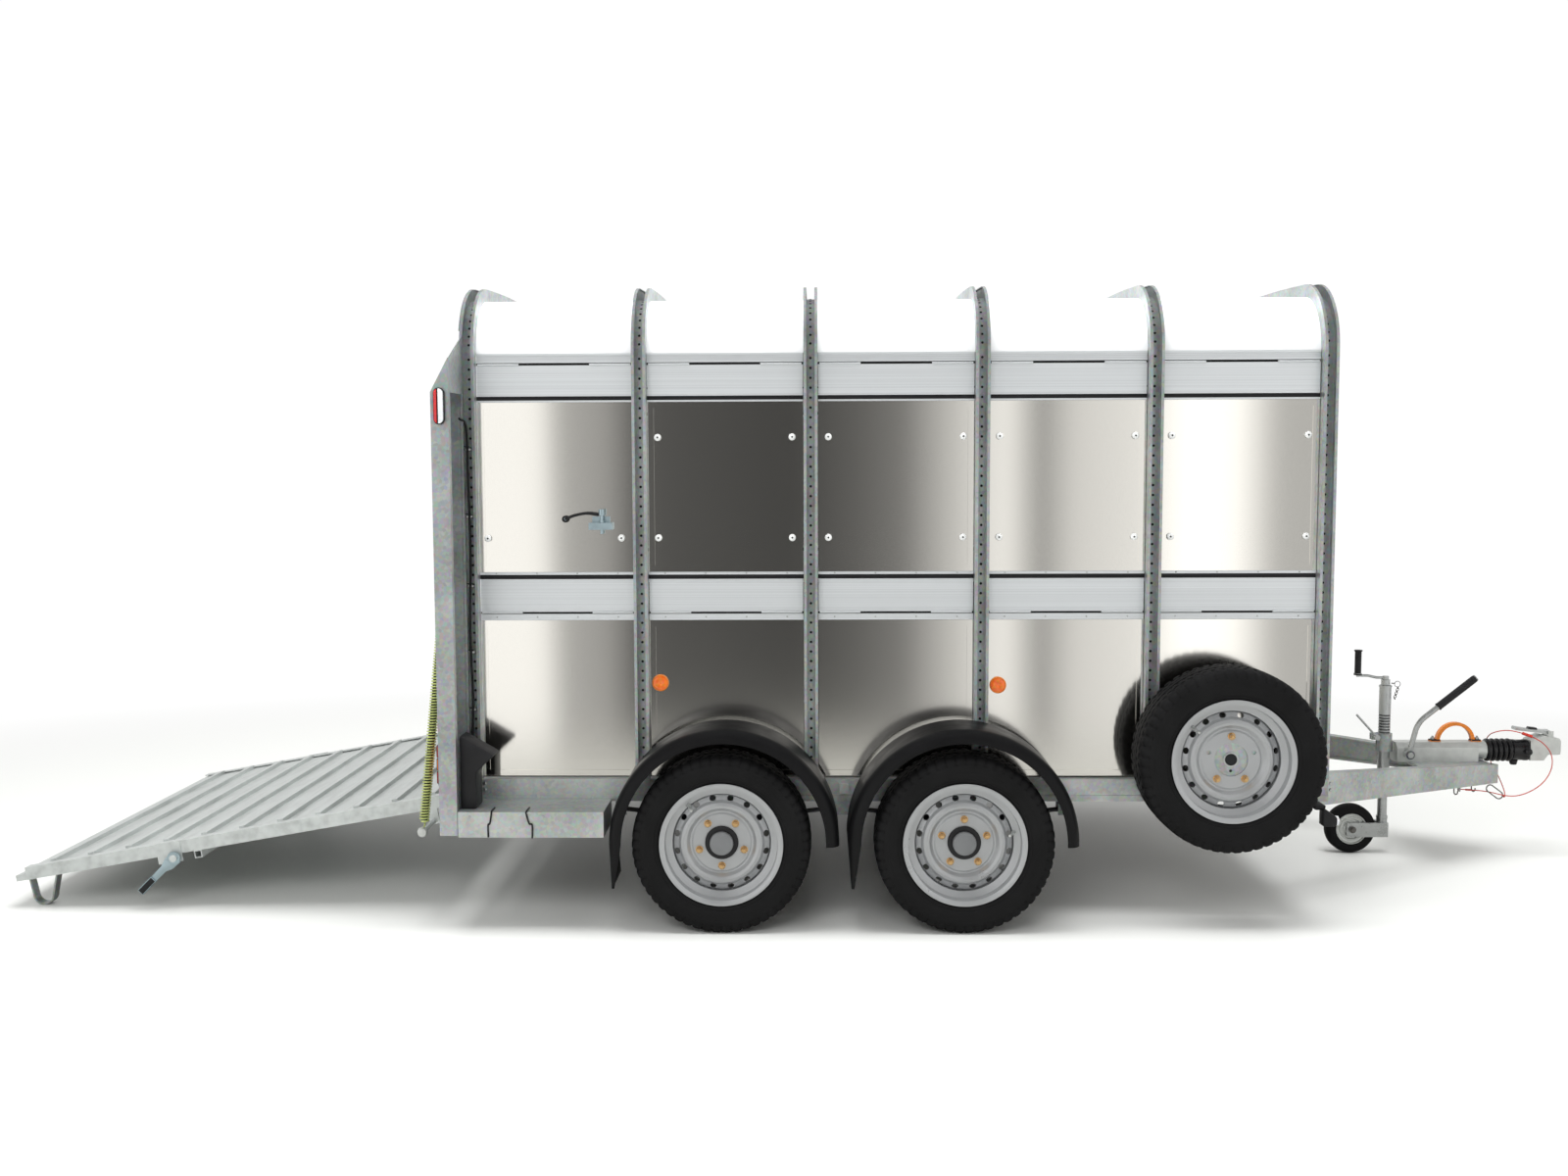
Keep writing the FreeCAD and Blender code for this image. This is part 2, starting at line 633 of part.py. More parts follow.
def steel_rim(x, side, y_mid, z, first_stud):
    shape = revolved(rim_profile(), x, side * y_mid, z, side)
    y0 = side * y_mid
    cuts = []
    for k in range(STUDS):
        angle = math.radians(first_stud + 360.0 / STUDS * k)
        px = x + STUD_R * math.cos(angle)
        pz = z + STUD_R * math.sin(angle)
        cuts.append(rod(7.5, (px, y0 + side * 20, pz), (px, y0 + side * 60, pz)))
    for k in range(VENTS):
        angle = 360.0 / VENTS * (k + 0.5)
        slot = oval_slot(x + VENT_R, z, y0 + side * 5, y0 + side * 60)
        cuts.append(turn(slot, (x, 0, z), (0, 1, 0), angle))
    return shape.cut(Part.makeCompound(cuts)).Solids[0]


def rim_profile():
    """Barrel with a well, and a dished disc joined to the well's outer wall."""
    outside = [(84, RIM_FLANGE_R + 2), (78, RIM_FLANGE_R + 2), (76, RIM_SEAT_R), (46, 201), (38, 178),
               (-22, 178), (-34, 201), (-76, RIM_SEAT_R), (-78, RIM_FLANGE_R + 2),
               (-84, RIM_FLANGE_R + 2)]
    back = [(-84, 210), (-80, 198), (-37, 196), (-25, 173), (10, 173)]
    disc_back = [(26, 163), (33, 148), (42, 140), (44, 132), (42, 124), (32, 112), (31, 105),
                 (35, 99), (35, 58.5)]
    disc_front = [(40, 58.5), (40, 100), (36, 106), (37, 111), (47, 122), (50, 132), (47, 142),
                  (38, 151), (31, 167), (22, 173)]
    front = [(40, 173), (49, 196), (80, 198), (84, 210)]
    return outside + back + disc_back + disc_front + front


def oval_slot(x, z, y0, y1):
    half = 2.5
    radius = 9.0
    low = min(y0, y1)
    high = max(y0, y1)
    ends = [rod(radius, (x, low, z + dz), (x, high, z + dz)) for dz in (-half, half)]
    return fuse(ends + [box(x - radius, x + radius, low, high, z - half, z + half)])


def hex_prism(x, z, across, y0, y1, degrees):
    radius = across / math.sqrt(3.0)
    corners = []
    for k in range(6):
        angle = math.radians(degrees + 60.0 * k)
        corners.append((x + radius * math.cos(angle), z + radius * math.sin(angle)))
    return prism_xz(corners, min(y0, y1), max(y0, y1))


def wheel_nuts(x, y_mid, z, side, angles):
    """Stud with its hexagon nut, standing on the wheel's face."""
    nuts = []
    face = side * y_mid + side * (HUB_FACE + 5.0)
    for degrees in angles:
        angle = math.radians(degrees)
        px = x + STUD_R * math.cos(angle)
        pz = z + STUD_R * math.sin(angle)
        nut = hex_prism(px, pz, 19.0, face, face + side * 15, degrees)
        stud = rod(6, (px, face - side * 5, pz), (px, face + side * 22, pz))
        nuts.append(fuse([nut, stud]))
    return nuts


def hub(x, side, first_stud):
    profile = [(-60, 15.05), (-60, 38), (14, 38), (18, 44), (18, 122), (-60, 122), (-60, 130),
               (26, 130), (28, 126), (28, 100), (HUB_FACE, 97), (HUB_FACE, 57), (49, 57), (49, 41),
               (62, 41), (66, 35), (66, 0), (45, 0), (45, 15.05)]
    drum = revolved(profile, x, side * TRACK_Y, WHEEL_Z, side)
    angles = [first_stud + 360.0 / STUDS * k for k in range(STUDS)]
    return [drum] + wheel_nuts(x, TRACK_Y, WHEEL_Z, side, angles)


def axle(x):
    """Beam, stub spindles, brake back plates and spring clamps of one axle."""
    solids = [hollow_bar(x - 25, x + 25, -930, 930, WHEEL_Z - 25, WHEEL_Z + 25, 5.0)]
    near = []
    spindle = rod(15, (x, -930, WHEEL_Z), (x, -TRACK_Y - 42, WHEEL_Z))
    plate = tube(120, 15, (x, -985, WHEEL_Z), (x, -990, WHEEL_Z))
    flange = tube(34, 15, (x, -930, WHEEL_Z), (x, -985, WHEEL_Z))
    near.append(fuse([spindle, plate, flange]))
    near.append(box(x - 50, x + 50, -926, -854, WHEEL_Z + 56, WHEEL_Z + 62))
    for dx in (-32, 32):
        for y in (-920, -860):
            near.append(rod(5, (x + dx, y, WHEEL_Z - 31), (x + dx, y, WHEEL_Z + 56)))
    near.append(box(x - 50, x + 50, -926, -854, WHEEL_Z - 37, WHEEL_Z - 31))
    return solids + both_sides(near)


def leaf(x, z_low, half, thick, y0, y1):
    """One curved leaf, low in the middle."""
    bend = 2825.0
    rise = half * half / (2.0 * bend)
    low = Part.Arc(vec(x - half, y0, z_low + rise), vec(x, y0, z_low), vec(x + half, y0, z_low + rise))
    top = Part.Arc(vec(x + half, y0, z_low + rise + thick), vec(x, y0, z_low + thick),
                   vec(x - half, y0, z_low + rise + thick))
    sides = [Part.makeLine(vec(x + half, y0, z_low + rise), vec(x + half, y0, z_low + rise + thick)),
             Part.makeLine(vec(x - half, y0, z_low + rise + thick), vec(x - half, y0, z_low + rise))]
    wire = Part.Wire(Part.__sortEdges__([low.toShape(), top.toShape()] + sides))
    return Part.Face(wire).extrude(vec(0, y1 - y0, 0))


def leaf_spring(x):
    leaves = []
    base = WHEEL_Z + 25.4
    for step, half in enumerate((150.0, 230.0, 300.0)):
        leaves.append(leaf(x, base + 7.0 * step, half, 6.4, -912, -868))
    main = leaf(x, base + 21.0, 366.0, 6.4, -912, -868)
    eye_z = base + 21.0 + 3.2 + 375.0 ** 2 / 5650.0
    eyes = []
    for dx in (-375.0, 375.0):
        eyes.append(rod(12, (x + dx, -912, eye_z), (x + dx, -868, eye_z)))
    main = fuse([main] + eyes)
    for dx in (-375.0, 375.0):
        main = main.cut(rod(6 + RUN, (x + dx, -930, eye_z), (x + dx, -850, eye_z)))
    return leaves + [main]


def leaf_springs():
    return both_sides(leaf_spring(WHEEL_X["rear"]) + leaf_spring(WHEEL_X["front"]))


def spring_hangers():
    eye_z = WHEEL_Z + 25.4 + 24.2 + 375.0 ** 2 / 5650.0
    spots = [(-795.0, -755.0, [-775.0]), (-45.0, 93.0, [-25.0, 73.0]), (803.0, 843.0, [823.0])]
    solids = []
    for x0, x1, pins in spots:
        parts = [box(x0, x1, -920, -860, 414, RAIL_LOW)]
        for y in (-920, -866):
            parts.append(box(x0, x1, y, y + 6, eye_z - 18, 414))
        for x in pins:
            parts.append(rod(6, (x, -926, eye_z), (x, -854, eye_z)))
        solids.append(fuse(parts))
    return both_sides(solids)


def spare_carrier():
    foot = box(SPARE_X - 25, SPARE_X + 25, -940, -HALF_WIDTH + 5, 443, 493)
    post = box(SPARE_X - 25, SPARE_X + 25, -940, -921, 493, 640)
    sleeve = rod(30, (SPARE_X, -940, SPARE_Z), (SPARE_X, -SPARE_Y - HUB_FACE, SPARE_Z))
    plate = rod(96, (SPARE_X, -SPARE_Y - HUB_FACE + 6, SPARE_Z), (SPARE_X, -SPARE_Y - HUB_FACE, SPARE_Z))
    carrier = fuse([foot, post, sleeve, plate])
    carrier = carrier.cut(rod(21, (SPARE_X, -950, SPARE_Z), (SPARE_X, -1100, SPARE_Z)))
    carrier = carrier.cut(rod(5, (SPARE_X, -1060, SPARE_Z - 40), (SPARE_X, -1100, SPARE_Z - 40)))
    return [carrier] + wheel_nuts(SPARE_X, SPARE_Y, SPARE_Z, -1, (90.0, 234.0, 306.0))


# ---------------------------------------------------------------- ramp
def on_ramp(shape):
    """Place a shape drawn with the ramp level, along -X from the hinge, onto the ramp's slope."""
    copy = turn(shape, (0, 0, 0), (0, 1, 0), -RAMP_SLOPE)
    copy.translate(vec(RAMP_HINGE[0], 0, RAMP_HINGE[1]))
    return copy


def ramp_box(u0, u1, y0, y1, w0, w1):
    return box(-u1, -u0, y0, y1, w0, w1)


def ramp_rod(radius, u, w, y0, y1):
    return rod(radius, (-u, y0, w), (-u, y1, w))


def ramp_frame():
    y = -RAMP_HALF
    outline = [(y, RAMP_LOW), (y, RAMP_TOP), (y + 43, RAMP_TOP), (y + 43, RAMP_TOP - 4),
               (y + 4, RAMP_TOP - 4), (y + 4, RAMP_LOW + 4), (y + RAMP_FLANGE, RAMP_LOW + 4),
               (y + RAMP_FLANGE, RAMP_LOW)]
    channel = prism_yz(outline, -RAMP_LENGTH, -18)
    tail = ramp_box(60, 95, y, y + 10, SPRING_END_W - 14, RAMP_LOW)
    peg = ramp_rod(9, SPRING_END_U, SPRING_END_W, -1044, y)
    catch = ramp_box(CATCH_U - 26, CATCH_U + 66, y - 4, y, CATCH_W - 18, RAMP_TOP + 2)
    pivot = ramp_rod(8, CATCH_U, CATCH_W, y - 20, y - 4)
    pivot_head = ramp_rod(13, CATCH_U, CATCH_W, y - 28, y - 20)
    side = both_sides([channel, tail, peg, catch, fuse([pivot, pivot_head])])
    bars = [hollow_bar(-u - 18, -u + 18, y + 4, -y - 4, -22, 8) for u in RAMP_BARS]
    rear_tube = hollow_bar(-980, -952, y, -y, -55, RAMP_LOW)
    knuckles = []
    for middle in (-640.0, 0.0, 640.0):
        barrel = rod(12.5, (0, middle - 29, 0), (0, middle + 29, 0))
        arm = ramp_box(0, 30, middle - 29, middle + 29, -9, 6)
        bore = rod(RAMP_PIN_R + RUN, (0, middle - 40, 0), (0, middle + 40, 0))
        knuckles.append(fuse([barrel, arm]).cut(bore))
    return [on_ramp(s) for s in side + bars + [rear_tube] + knuckles]


def ramp_deck():
    y = RAMP_HALF - 4
    solids = [ramp_box(31, RAMP_LENGTH - 4, -y, y, 8, 12)]
    for k in range(CLEATS):
        u = 78.0 + CLEAT_PITCH * k
        solids.append(ramp_box(u - 11, u + 11, -y + 40, y - 40, 12, 27))
    solids.append(ramp_box(RAMP_LENGTH, RAMP_LENGTH + RAMP_BOARD, -y, y, RAMP_LOW, RAMP_LOW + 22))
    return [on_ramp(s) for s in solids]


def ramp_foot():
    """Flat bar bent to a U that holds the ramp's end clear of soft ground."""
    half = 20.0
    bar = 6.0
    outer_r = 40.0
    x = -2960.0
    left = (-3015.0, 108.0)
    right = (-2903.0, 127.0)
    centre_z = outer_r
    ring = rod(outer_r, (x, -half, centre_z), (x, half, centre_z))
    ring = ring.cut(rod(outer_r - bar, (x, -half - 1, centre_z), (x, half + 1, centre_z)))
    ring = ring.cut(box(x - 60, x + 60, -half - 2, half + 2, centre_z, centre_z + 2 * outer_r))
    legs = []
    for side, top in ((-1, left), (1, right)):
        low_x = x + side * outer_r
        legs.append(prism_xz([(low_x, centre_z), (top[0], top[1]), (top[0] - side * bar, top[1]),
                              (low_x - side * bar, centre_z)], -half, half))
    return fuse([ring] + legs)


def ramp_feet():
    """Two feet, trimmed where they meet the ramp's slanting underside."""
    above = on_ramp(ramp_box(1000, 1700, -1000, 1000, RAMP_LOW, 200))
    feet = []
    for y in (-FOOT_Y, FOOT_Y):
        foot = ramp_foot()
        foot.translate(vec(0, y, 0))
        feet.append(foot.cut(above))
    return feet


def ramp_catch():
    y = -RAMP_HALF - 4
    disc = ramp_rod(22, CATCH_U, CATCH_W, y - 14, y - 6)
    end_u = CATCH_U + 149.0
    end_w = CATCH_W - 105.0
    arm = rod(6, (-CATCH_U, y - 10, CATCH_W), (-end_u, y - 10, end_w))
    grip_u = CATCH_U + 149.0 * 0.62
    grip_w = CATCH_W - 105.0 * 0.62
    grip = rod(9.5, (-grip_u, y - 10, grip_w), (-end_u, y - 10, end_w))
    lever = fuse([disc, arm, grip])
    lever = lever.cut(ramp_rod(8 + RUN, CATCH_U, CATCH_W, y - 30, y))
    return on_ramp(lever)


def ramp_springs():
    """Outer shape of the two lift-assist coil springs."""
    slope = math.radians(RAMP_SLOPE)
    x0 = RAMP_HINGE[0] - SPRING_END_U * math.cos(slope) - SPRING_END_W * math.sin(slope)
    z0 = RAMP_HINGE[1] - SPRING_END_U * math.sin(slope) + SPRING_END_W * math.cos(slope)
    a = vec(x0, -SPRING_Y, z0)
    b = vec(SPRING_TOP[0], -SPRING_TOP[1], SPRING_TOP[2])
    along = (b - a).normalize()
    start = a + along * 12.0
    end = b - along * 22.0
    coil = tube(18.0, 13.0, tuple(start), tuple(end))
    return both_sides([coil])


# ---------------------------------------------------------------- coupling and brake
def coupling_housing():
    x0, x1 = HOUSING_X
    outline = [(-48, 392), (48, 392), (48, 452), (30, HOUSING_TOP), (-30, HOUSING_TOP), (-48, 452)]
    block = prism_yz(outline, x0, x1 - 42)
    nose = rod(38, (x1 - 42, 0, SHAFT_Z), (x1, 0, SHAFT_Z))
    cone = Part.makeCone(46, 38, 60, vec(x1 - 102, 0, SHAFT_Z), vec(1, 0, 0))
    housing = fuse([block, nose, cone.common(box(x1 - 102, x1, -60, 60, 392, HOUSING_TOP))])
    housing = housing.cut(box(HANDLE_X, HANDLE_X + 106, -60, 60, HOUSING_TOP, HOUSING_TOP + 20))
    housing = housing.cut(rod(SHAFT_R + RUN, (2385, 0, SHAFT_Z), (x1 + 1, 0, SHAFT_Z)))
    pivot = rod(8, (2386, -48, 427), (2386, -84, 427))
    bolt = hex_prism(2386, 427, 22, -90, -84, 0)
    return [fuse([housing, pivot, bolt])]


def head_block():
    side = [(COLLAR_END, 395), (2954, 395), (2972, 419), (3028, 419), (NOSE_X, 440), (NOSE_X, 466),
            (3020, 486), (2950, 500), (COLLAR_END, 478)]
    body = prism_xz(side, -40, 40)
    plan = fuse([box(COLLAR_END - 5, BALL_X, -37, 37, 380, 510),
                 rod(37, (BALL_X, 0, 380), (BALL_X, 0, 510))])
    return body.common(plan)


def coupling_head():
    head = head_block()
    shaft = rod(SHAFT_R, (2460, 0, SHAFT_Z), (COLLAR_END + 4, 0, SHAFT_Z))
    ears = [box(2974, 2996, y0, y0 + 4, 480, 517) for y0 in (-28.0, 24.0)]
    pin = rod(5, (2985, -30, 508), (2985, 30, 508))
    head = fuse([head, shaft, pin] + ears)
    head = head.cut(rod(BALL_R, (BALL_X, 0, 400), (BALL_X, 0, BALL_Z)))
    head = head.cut(Part.makeSphere(BALL_R, vec(BALL_X, 0, BALL_Z)))
    return [head.Solids[0]]


def coupling_lever():
    boss = rod(9, (2985, -22, 508), (2985, 22, 508))
    arm = prism_xz([(2980, 503), (2984, 516.9), (2905, 523), (2846, 533), (2842, 529), (2842, 520)],
                   -20, 20)
    lever = fuse([boss, arm])
    return [lever.cut(rod(5 + RUN, (2985, -30, 508), (2985, 30, 508)))]


def bellows():
    """Five rubber folds and a stiff collar round the overrun shaft."""
    x0, x1 = BELLOWS_X
    folds = 5
    step = (x1 - x0) / folds
    profile = [(x0, 27.5)]
    for k in range(folds):
        profile.append((x0 + step * k + 1.0, 38.0))
        profile.append((x0 + step * (k + 0.32), 47.0))
        profile.append((x0 + step * (k + 0.68), 47.0))
        profile.append((x0 + step * (k + 1) - 1.0, 38.0))
    profile.extend([(x1, 45.0), (COLLAR_END, 45.0), (COLLAR_END, 27.5)])
    points = [(x, 0, SHAFT_Z + r) for x, r in profile]
    ring = face_of(points).revolve(vec(x0, 0, SHAFT_Z), vec(1, 0, 0), 360.0)
    stub = rod(14, (2846, 0, 372), (2846, 0, 392))
    knob = rod(15, (2884, -43, 434), (2884, -60, 434))
    shape = fuse([ring.Solids[0], stub, knob])
    return [shape.cut(rod(27.5, (x0, 0, SHAFT_Z), (COLLAR_END, 0, SHAFT_Z))).Solids[0]]


def bent_rod(radius, points, bend):
    """Round bar through points, with arcs of the given radius at its corners."""
    centres = [vec(*p) for p in points]
    edges, _ = rounded_path(centres, [bend] * (len(points) - 2))
    return sweep_round(edges, radius)


def rounded_path(points, radii):
    """Straight runs joined by tangent arcs; one radius for each inner point."""
    edges = []
    last = points[0]
    for index, radius in enumerate(radii):
        corner = points[index + 1]
        back = (points[index] - corner).normalize()
        ahead = (points[index + 2] - corner).normalize()
        half_turn = (math.pi - back.getAngle(ahead)) / 2.0
        cut = radius * math.tan(half_turn)
        start = corner + back * cut
        end = corner + ahead * cut
        to_centre = (back + ahead).normalize()
        middle = corner + to_centre * (radius / math.cos(half_turn) - radius)
        edges.append(Part.LineSegment(last, start).toShape())
        edges.append(Part.Arc(start, middle, end).toShape())
        last = end
    edges.append(Part.LineSegment(last, points[-1]).toShape())
    return edges, sum(e.Length for e in edges)


def sweep_round(edges, radius):
    wire = Part.Wire(edges)
    start = edges[0].valueAt(edges[0].FirstParameter)
    direction = edges[0].tangentAt(edges[0].FirstParameter)
    section = Part.Wire(Part.makeCircle(radius, start, direction))
    return wire.makePipeShell([section], True, True)


def handbrake_lever():
    y = -66.0
    tip = (2645.0, y, 742.0)
    bend = (2419.0, y, 560.0)
    bar = bent_rod(11, [(2386.0, y, 427.0), bend, tip], 110.0)
    boss = rod(17, (2386, -82, 427), (2386, -50, 427))
    along = (vec(*tip) - vec(*bend)).normalize()
    grip_end = vec(*tip) + along * 8
    grip_start = grip_end - along * 196
    grip = rod(14, tuple(grip_start), tuple(grip_end))
    lever = fuse([Part.makeSolid(bar.Shells[0]), boss, grip])
    return [lever.cut(rod(8 + RUN, (2386, -95, 427), (2386, -40, 427)))]


def grab_handle():
    x = HANDLE_X
    z = HOUSING_TOP
    arch = tube(80, 66, (x, -11, z), (x, 11, z))
    arch = arch.common(box(x - 100, x + 100, -20, 20, z + 3, z + 90))
    feet = [box(x + s - 21, x + s + 21, -14, 14, z, z + 6) for s in (-84.0, 84.0)]
    bolts = [rod(6, (x + s, 0, z + 6), (x + s, 0, z + 13)) for s in (-92.0, 92.0)]
    return [fuse([arch] + feet + bolts)]


# ---------------------------------------------------------------- jack
def jack_outer():
    """Outer tube with ribs turned into its lower half, and its narrower cap."""
    points = [(JACK_INNER_R + RUN, 238.0), (JACK_R, 238.0), (JACK_R, 506.0)]
    for k in range(7):
        z = 507.0 + 12.0 * k
        points.extend([(JACK_R - 1.6, z), (JACK_R - 1.6, z + 5), (JACK_R, z + 6), (JACK_R, z + 11)])
    points.extend([(JACK_R, 700.0), (JACK_R + 2, 700.0), (JACK_R + 2, 706.0), (18, 710.0), (18, 731.0),
                   (6 + RUN, 731.0), (6 + RUN, 700.0), (JACK_INNER_R + RUN, 700.0)])
    face = face_of([(JACK_X + r, 0, z) for r, z in points])
    return [face.revolve(vec(JACK_X, 0, 0), vec(0, 0, 1), 360.0).Solids[0]]


def jack_inner():
    """Inner tube with the screw's nut at its top and the fork's socket at its foot."""
    base = (JACK_X, 0, 146)
    leg = rod(JACK_INNER_R, base, (JACK_X, 0, 560))
    leg = leg.cut(rod(15, (JACK_X, 0, 196), (JACK_X, 0, 540)))
    leg = leg.cut(rod(6 + RUN, (JACK_X, 0, 530), (JACK_X, 0, 570)))
    leg = leg.cut(rod(12 + RUN, (JACK_X, 0, 140), (JACK_X, 0, 190)))
    ring = tube(23, JACK_INNER_R, (JACK_X, 0, 146), (JACK_X, 0, 156))
    return [fuse([leg, ring])]


def jockey_fork():
    wheel = (JOCKEY_X, JOCKEY_R)
    plates = []
    for y0 in (-36.0, 31.0):
        bar = box(wheel[0], JACK_X + 15, y0, y0 + 5, wheel[1] - 32, wheel[1] + 28)
        nose = box(wheel[0] - 22, wheel[0], y0, y0 + 5, wheel[1] - 30, wheel[1] + 26)
        plates.extend([bar, nose])
    bridge = box(JACK_X - 24, JACK_X + 15, -31, 31, wheel[1] + 20, wheel[1] + 28)
    top = rod(22, (JACK_X, 0, wheel[1] + 27), (JACK_X, 0, 145))
    pin = rod(12, (JACK_X, 0, 140), (JACK_X, 0, 188))
    bolt = rod(8, (wheel[0], -42, wheel[1]), (wheel[0], 42, wheel[1]))
    return [fuse(plates + [bridge, top, pin, bolt])]


def jockey_wheel():
    x = JOCKEY_X
    z = JOCKEY_R
    profile = [(-29, 8.06), (-29, 20), (-6, 24), (-6, 50), (-25, 58), (-27, 64), (-27, 88), (-20, 99),
               (-10, JOCKEY_R), (10, JOCKEY_R), (20, 99), (27, 88), (27, 64), (25, 58), (6, 50),
               (6, 24), (29, 20), (29, 8.06)]
    return [revolved(profile, x, 0.0, z, 1)]


def crank_handle():
    screw = rod(6, (JACK_X, 0, 330), (JACK_X, 0, 742))
    arm = bent_rod(5.5, [(JACK_X, 0.0, 738.0), (2268.0, 0.0, 739.0), (2232.0, 0.0, 747.0),
                         (2191.0, 0.0, 748.0)], 20.0)
    hub_ring = rod(13, (JACK_X, 0, 731.5), (JACK_X, 0, 745))
    grip = rod(13, (2191, 0, 756), (2191, 0, 850))
    ends = [rod(16, (2191, 0, 750), (2191, 0, 757)), rod(16, (2191, 0, 849), (2191, 0, 854))]
    stem = rod(6, (2191, 0, 742), (2191, 0, 752))
    return [fuse([screw, Part.makeSolid(arm.Shells[0]), hub_ring, grip, stem] + ends)]


def clamp_lever():
    screw = rod(6, (2266, -18, 492), (2266, 20, 492))
    boss = rod(11, (2266, -42, 492), (2266, -15, 492))
    bar = rod(4.5, (2266, -33, 492), (2179, -33, 588))
    return [fuse([screw, boss, bar])]


# ---------------------------------------------------------------- breakaway cable
def cable_radii(points):
    radii = []
    for index in range(1, len(points) - 1):
        before = points[index - 1] - points[index]
        after = points[index + 1] - points[index]
        half_turn = (math.pi - before.getAngle(after)) / 2.0
        radii.append(0.45 * min(before.Length, after.Length) / math.tan(half_turn))
    return radii


def breakaway_cable():
    points = [vec(*p) for p in CABLE_ROUTE]
    radii = cable_radii(points)
    edges, length = rounded_path(points, radii)
    tube_shape = sweep_round(edges, CABLE_R)
    solid = Part.makeSolid(tube_shape.Shells[0])
    runs = [(points[k + 1] - points[k]).Length for k in range(len(points) - 1)]
    print("cable radii", [round(r, 1) for r in radii])
    print("cable runs", [round(r, 1) for r in runs])
    print("cable length", round(length, 1), "volume ratio",
          round(solid.Volume / (math.pi * CABLE_R ** 2 * length), 4))
    return [solid]


def carabiner():
    """Long snap ring hanging from the cable's end and round the cable."""
    straight = CLIP_HALF - CLIP_R
    outer = CLIP_R
    points = [vec(-straight, 0, outer), vec(straight, 0, outer), vec(straight + outer, 0, 0),
              vec(straight, 0, -outer), vec(-straight, 0, -outer), vec(-straight - outer, 0, 0)]
    edges = [Part.LineSegment(points[0], points[1]).toShape(),
             Part.Arc(points[1], points[2], points[3]).toShape(),
             Part.LineSegment(points[3], points[4]).toShape(),
             Part.Arc(points[4], points[5], points[0]).toShape()]
    section = Part.Wire(Part.makeCircle(CLIP_ROD, points[0], vec(1, 0, 0)))
    ring = Part.Wire(edges).makePipeShell([section], True, True)
    ring = Part.makeSolid(ring.Shells[0])
    ring.rotate(vec(0, 0, 0), vec(0, 1, 0), CLIP_TILT)
    ring.translate(vec(*CLIP_CENTRE))
    return [ring]


# ---------------------------------------------------------------- all nodes
def road_wheels():
    for axle_name, x in WHEEL_X.items():
        first = -90.0 if axle_name == "rear" else 90.0
        for side_name, side in (("right", -1), ("left", 1)):
            where = axle_name + "_" + side_name
            save("tyre_" + where, [road_tyre(x, side, TRACK_Y, WHEEL_Z, TYRE_R)])
            save("rim_" + where, [steel_rim(x, side, TRACK_Y, WHEEL_Z, first)])
            save("hub_" + where, hub(x, side, first))
        save(axle_name + "_axle", axle(x))
    save("spare_tyre", [road_tyre(SPARE_X, -1, SPARE_Y, SPARE_Z, SPARE_R)])
    save("spare_rim", [steel_rim(SPARE_X, -1, SPARE_Y, SPARE_Z, 90.0)])


def handed_nodes():
    catch = ramp_catch()
    save("ramp_catch_right", [catch])
    save("ramp_catch_left", [mirror_y(catch)])
    for name, upper in (("upper_vent_flaps", True), ("lower_vent_flaps", False)):
        row = vent_row(upper)
        save(name + "_right", row)
        save(name + "_left", [mirror_y(s) for s in row])


def main():
    os.makedirs(OUT, exist_ok=True)
    makers = [chassis_frame, floor_deck, drawbar, side_posts, roof_bows, roof_skin, front_wall,
              lower_side_panels, middle_side_panels, side_rails, side_fittings, latch_pin,
              rear_frame, rear_steps, lamps, mudguards, leaf_springs, spring_hangers,
              spare_carrier, ramp_frame, ramp_deck, ramp_feet, ramp_springs, coupling_housing,
              coupling_head, coupling_lever, bellows, handbrake_lever, grab_handle, jack_outer,
              jack_inner, jockey_fork, jockey_wheel, crank_handle, clamp_lever, breakaway_cable,
              carabiner]
    for maker in makers:
        save(maker.__name__, maker())
    road_wheels()
    handed_nodes()


main()
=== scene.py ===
"""Looks of the twin-axle livestock trailer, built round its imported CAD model.

Metres, in the CAD frame: +X to the tow coupling, +Y to the trailer's left side, +Z up.
"""
import math

import bmesh
import bpy
from mathutils import Matrix, Vector


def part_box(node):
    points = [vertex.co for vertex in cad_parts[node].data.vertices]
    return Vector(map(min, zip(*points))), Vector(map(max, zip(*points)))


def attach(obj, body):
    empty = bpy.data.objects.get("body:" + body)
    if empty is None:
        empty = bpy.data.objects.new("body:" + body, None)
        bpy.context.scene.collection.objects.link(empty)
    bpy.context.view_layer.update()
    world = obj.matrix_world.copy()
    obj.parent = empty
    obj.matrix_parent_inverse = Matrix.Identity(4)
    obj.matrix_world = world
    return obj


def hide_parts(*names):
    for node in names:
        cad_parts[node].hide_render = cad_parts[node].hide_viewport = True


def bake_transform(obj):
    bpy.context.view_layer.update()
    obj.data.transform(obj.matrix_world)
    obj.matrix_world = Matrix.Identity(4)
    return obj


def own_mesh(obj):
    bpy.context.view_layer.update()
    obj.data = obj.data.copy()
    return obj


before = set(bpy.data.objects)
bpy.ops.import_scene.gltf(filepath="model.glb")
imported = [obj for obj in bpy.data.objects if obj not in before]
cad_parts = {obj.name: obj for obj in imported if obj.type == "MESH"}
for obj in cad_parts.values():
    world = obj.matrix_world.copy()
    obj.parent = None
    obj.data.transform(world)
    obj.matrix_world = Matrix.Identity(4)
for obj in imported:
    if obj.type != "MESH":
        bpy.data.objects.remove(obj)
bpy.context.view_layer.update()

# ---------------------------------------------------------------- sizes shared by several pieces
TRAILER = "trailer"
HOOP_WIDTH = 0.05
HOOP_COUNT = 6
HOOP_WEB = 0.043           # from a hoop's outer line in to its web's face
CORNER_RADIUS = 0.25
EAVES = 2.03
post_low, post_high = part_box("side_posts")
HOOP_Y = post_high.y
